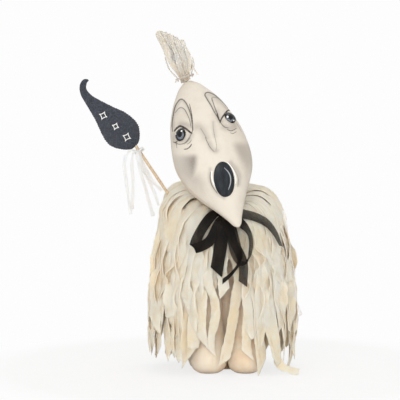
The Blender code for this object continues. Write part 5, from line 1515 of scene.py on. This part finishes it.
WORLD_STRENGTH, WORLD_COLOUR = 0.64, (1.0, 0.985, 0.965, 1)
BACKDROP = srgb(253, 253, 253)
# Name, place, size across in metres, power in watts, colour
LAMPS = (
    ("front_lamp", (-0.15, -1.9, 0.45), 1.0, 14.5, (1.0, 0.985, 0.965)),
    ("key_lamp", (-0.9, -1.5, 1.5), 1.1, 4.0, (1.0, 0.985, 0.965)),
    ("fill_lamp", (1.3, -1.3, 0.7), 1.4, 2.5, (1.0, 0.99, 0.98)),
    ("top_lamp", (0.1, 0.4, 1.9), 1.2, 6.0, (1.0, 1.0, 1.0)),
)
FLOOR_HALF = 6.0
# The floor shines white by this share under the doll, and wholly past the second distance
NEAR_SHINE, SHINE_FROM, SHINE_WHOLE = 0.78, 0.06, 0.28


def seen_directly(board):
    """A mask that is one for camera, glossy and transmission rays."""
    light = board.add("ShaderNodeLightPath")
    bounced = board.math("MAXIMUM", light.outputs["Is Glossy Ray"],
                         light.outputs["Is Transmission Ray"])
    return board.math("MAXIMUM", light.outputs["Is Camera Ray"], bounced)


def make_floor():
    """A pale floor that shines white to the camera but keeps the shadow near the doll."""
    mesh = bpy.data.meshes.new("floor")
    corners = [(x * FLOOR_HALF, y * FLOOR_HALF, 0) for x, y in ((-1, -1), (1, -1), (1, 1), (-1, 1))]
    mesh.from_pydata(corners, [], [(0, 1, 2, 3)])
    floor = bpy.data.objects.new("floor", mesh)
    bpy.context.scene.collection.objects.link(floor)
    made, board, shader = blank_material("pale_floor", 0.9, Specular_IOR_Level=0.1)
    place = board.place()
    paper = board.noise(place, 30.0, 3.0, 0.5)
    colour = board.mix(board.span(paper, 0.3, 0.7), srgb(246, 246, 246), srgb(243, 243, 243))
    board.link(colour, shader, "Base Color")
    shine = board.add("ShaderNodeEmission", {"Color": BACKDROP, "Strength": 1.0})
    far = board.add("ShaderNodeVectorMath", {0: place}, operation="LENGTH").outputs["Value"]
    whole = board.math("MAXIMUM", board.span(far, SHINE_FROM, SHINE_WHOLE), NEAR_SHINE)
    share = board.math("MULTIPLY", seen_directly(board), whole)
    both = board.add("ShaderNodeMixShader", {0: share, 1: shader.outputs[0], 2: shine.outputs[0]})
    board.link(both.outputs[0], made.node_tree.nodes["Material Output"], 0)
    mesh.materials.append(made)


def make_light():
    """A soft world that shows white to the camera, and four round soft lamps turned to the doll."""
    world = bpy.data.worlds.new("soft_room")
    bpy.context.scene.world = world
    world.use_nodes = True
    board = Board(world.node_tree)
    back = world.node_tree.nodes["Background"]
    back.inputs["Color"].default_value = WORLD_COLOUR
    back.inputs["Strength"].default_value = WORLD_STRENGTH
    white = board.add("ShaderNodeBackground", {"Color": BACKDROP, "Strength": 1.0})
    both = board.add("ShaderNodeMixShader",
                     {0: seen_directly(board), 1: back.outputs[0], 2: white.outputs[0]})
    board.link(both.outputs[0], world.node_tree.nodes["World Output"], 0)
    for name, place, size, power, colour in LAMPS:
        light = bpy.data.lights.new(name, "AREA")
        light.shape, light.size, light.energy, light.color = "DISK", size, power, colour
        lamp = bpy.data.objects.new(name, light)
        bpy.context.scene.collection.objects.link(lamp)
        lamp.location = place
        away = Vector((np.array(place) - CAMERA_AIM).tolist())
        lamp.rotation_euler = away.to_track_quat("Z", "Y").to_euler()


def make_camera():
    """The camera at the photograph's viewing angle, level across and slightly above the doll."""
    camera = bpy.data.cameras.new("front_camera")
    camera.sensor_width, camera.lens = SENSOR, LENS
    camera.clip_start, camera.clip_end = 0.05, 20.0
    made = bpy.data.objects.new("front_camera", camera)
    bpy.context.scene.collection.objects.link(made)
    made.location = CAMERA_AIM + CAMERA_BACK * CAMERA_DISTANCE
    made.rotation_euler = (math.pi / 2 - CAMERA_RISE, 0, 0)
    bpy.context.scene.camera = made
    bpy.context.scene.view_settings.view_transform = "Standard"


make_floor()
make_light()
make_camera()
make_head()
make_face_pads()
make_body()
make_legs()
make_robe()
make_bow()
make_sign()
make_stick()
make_streamers()
make_topknot()
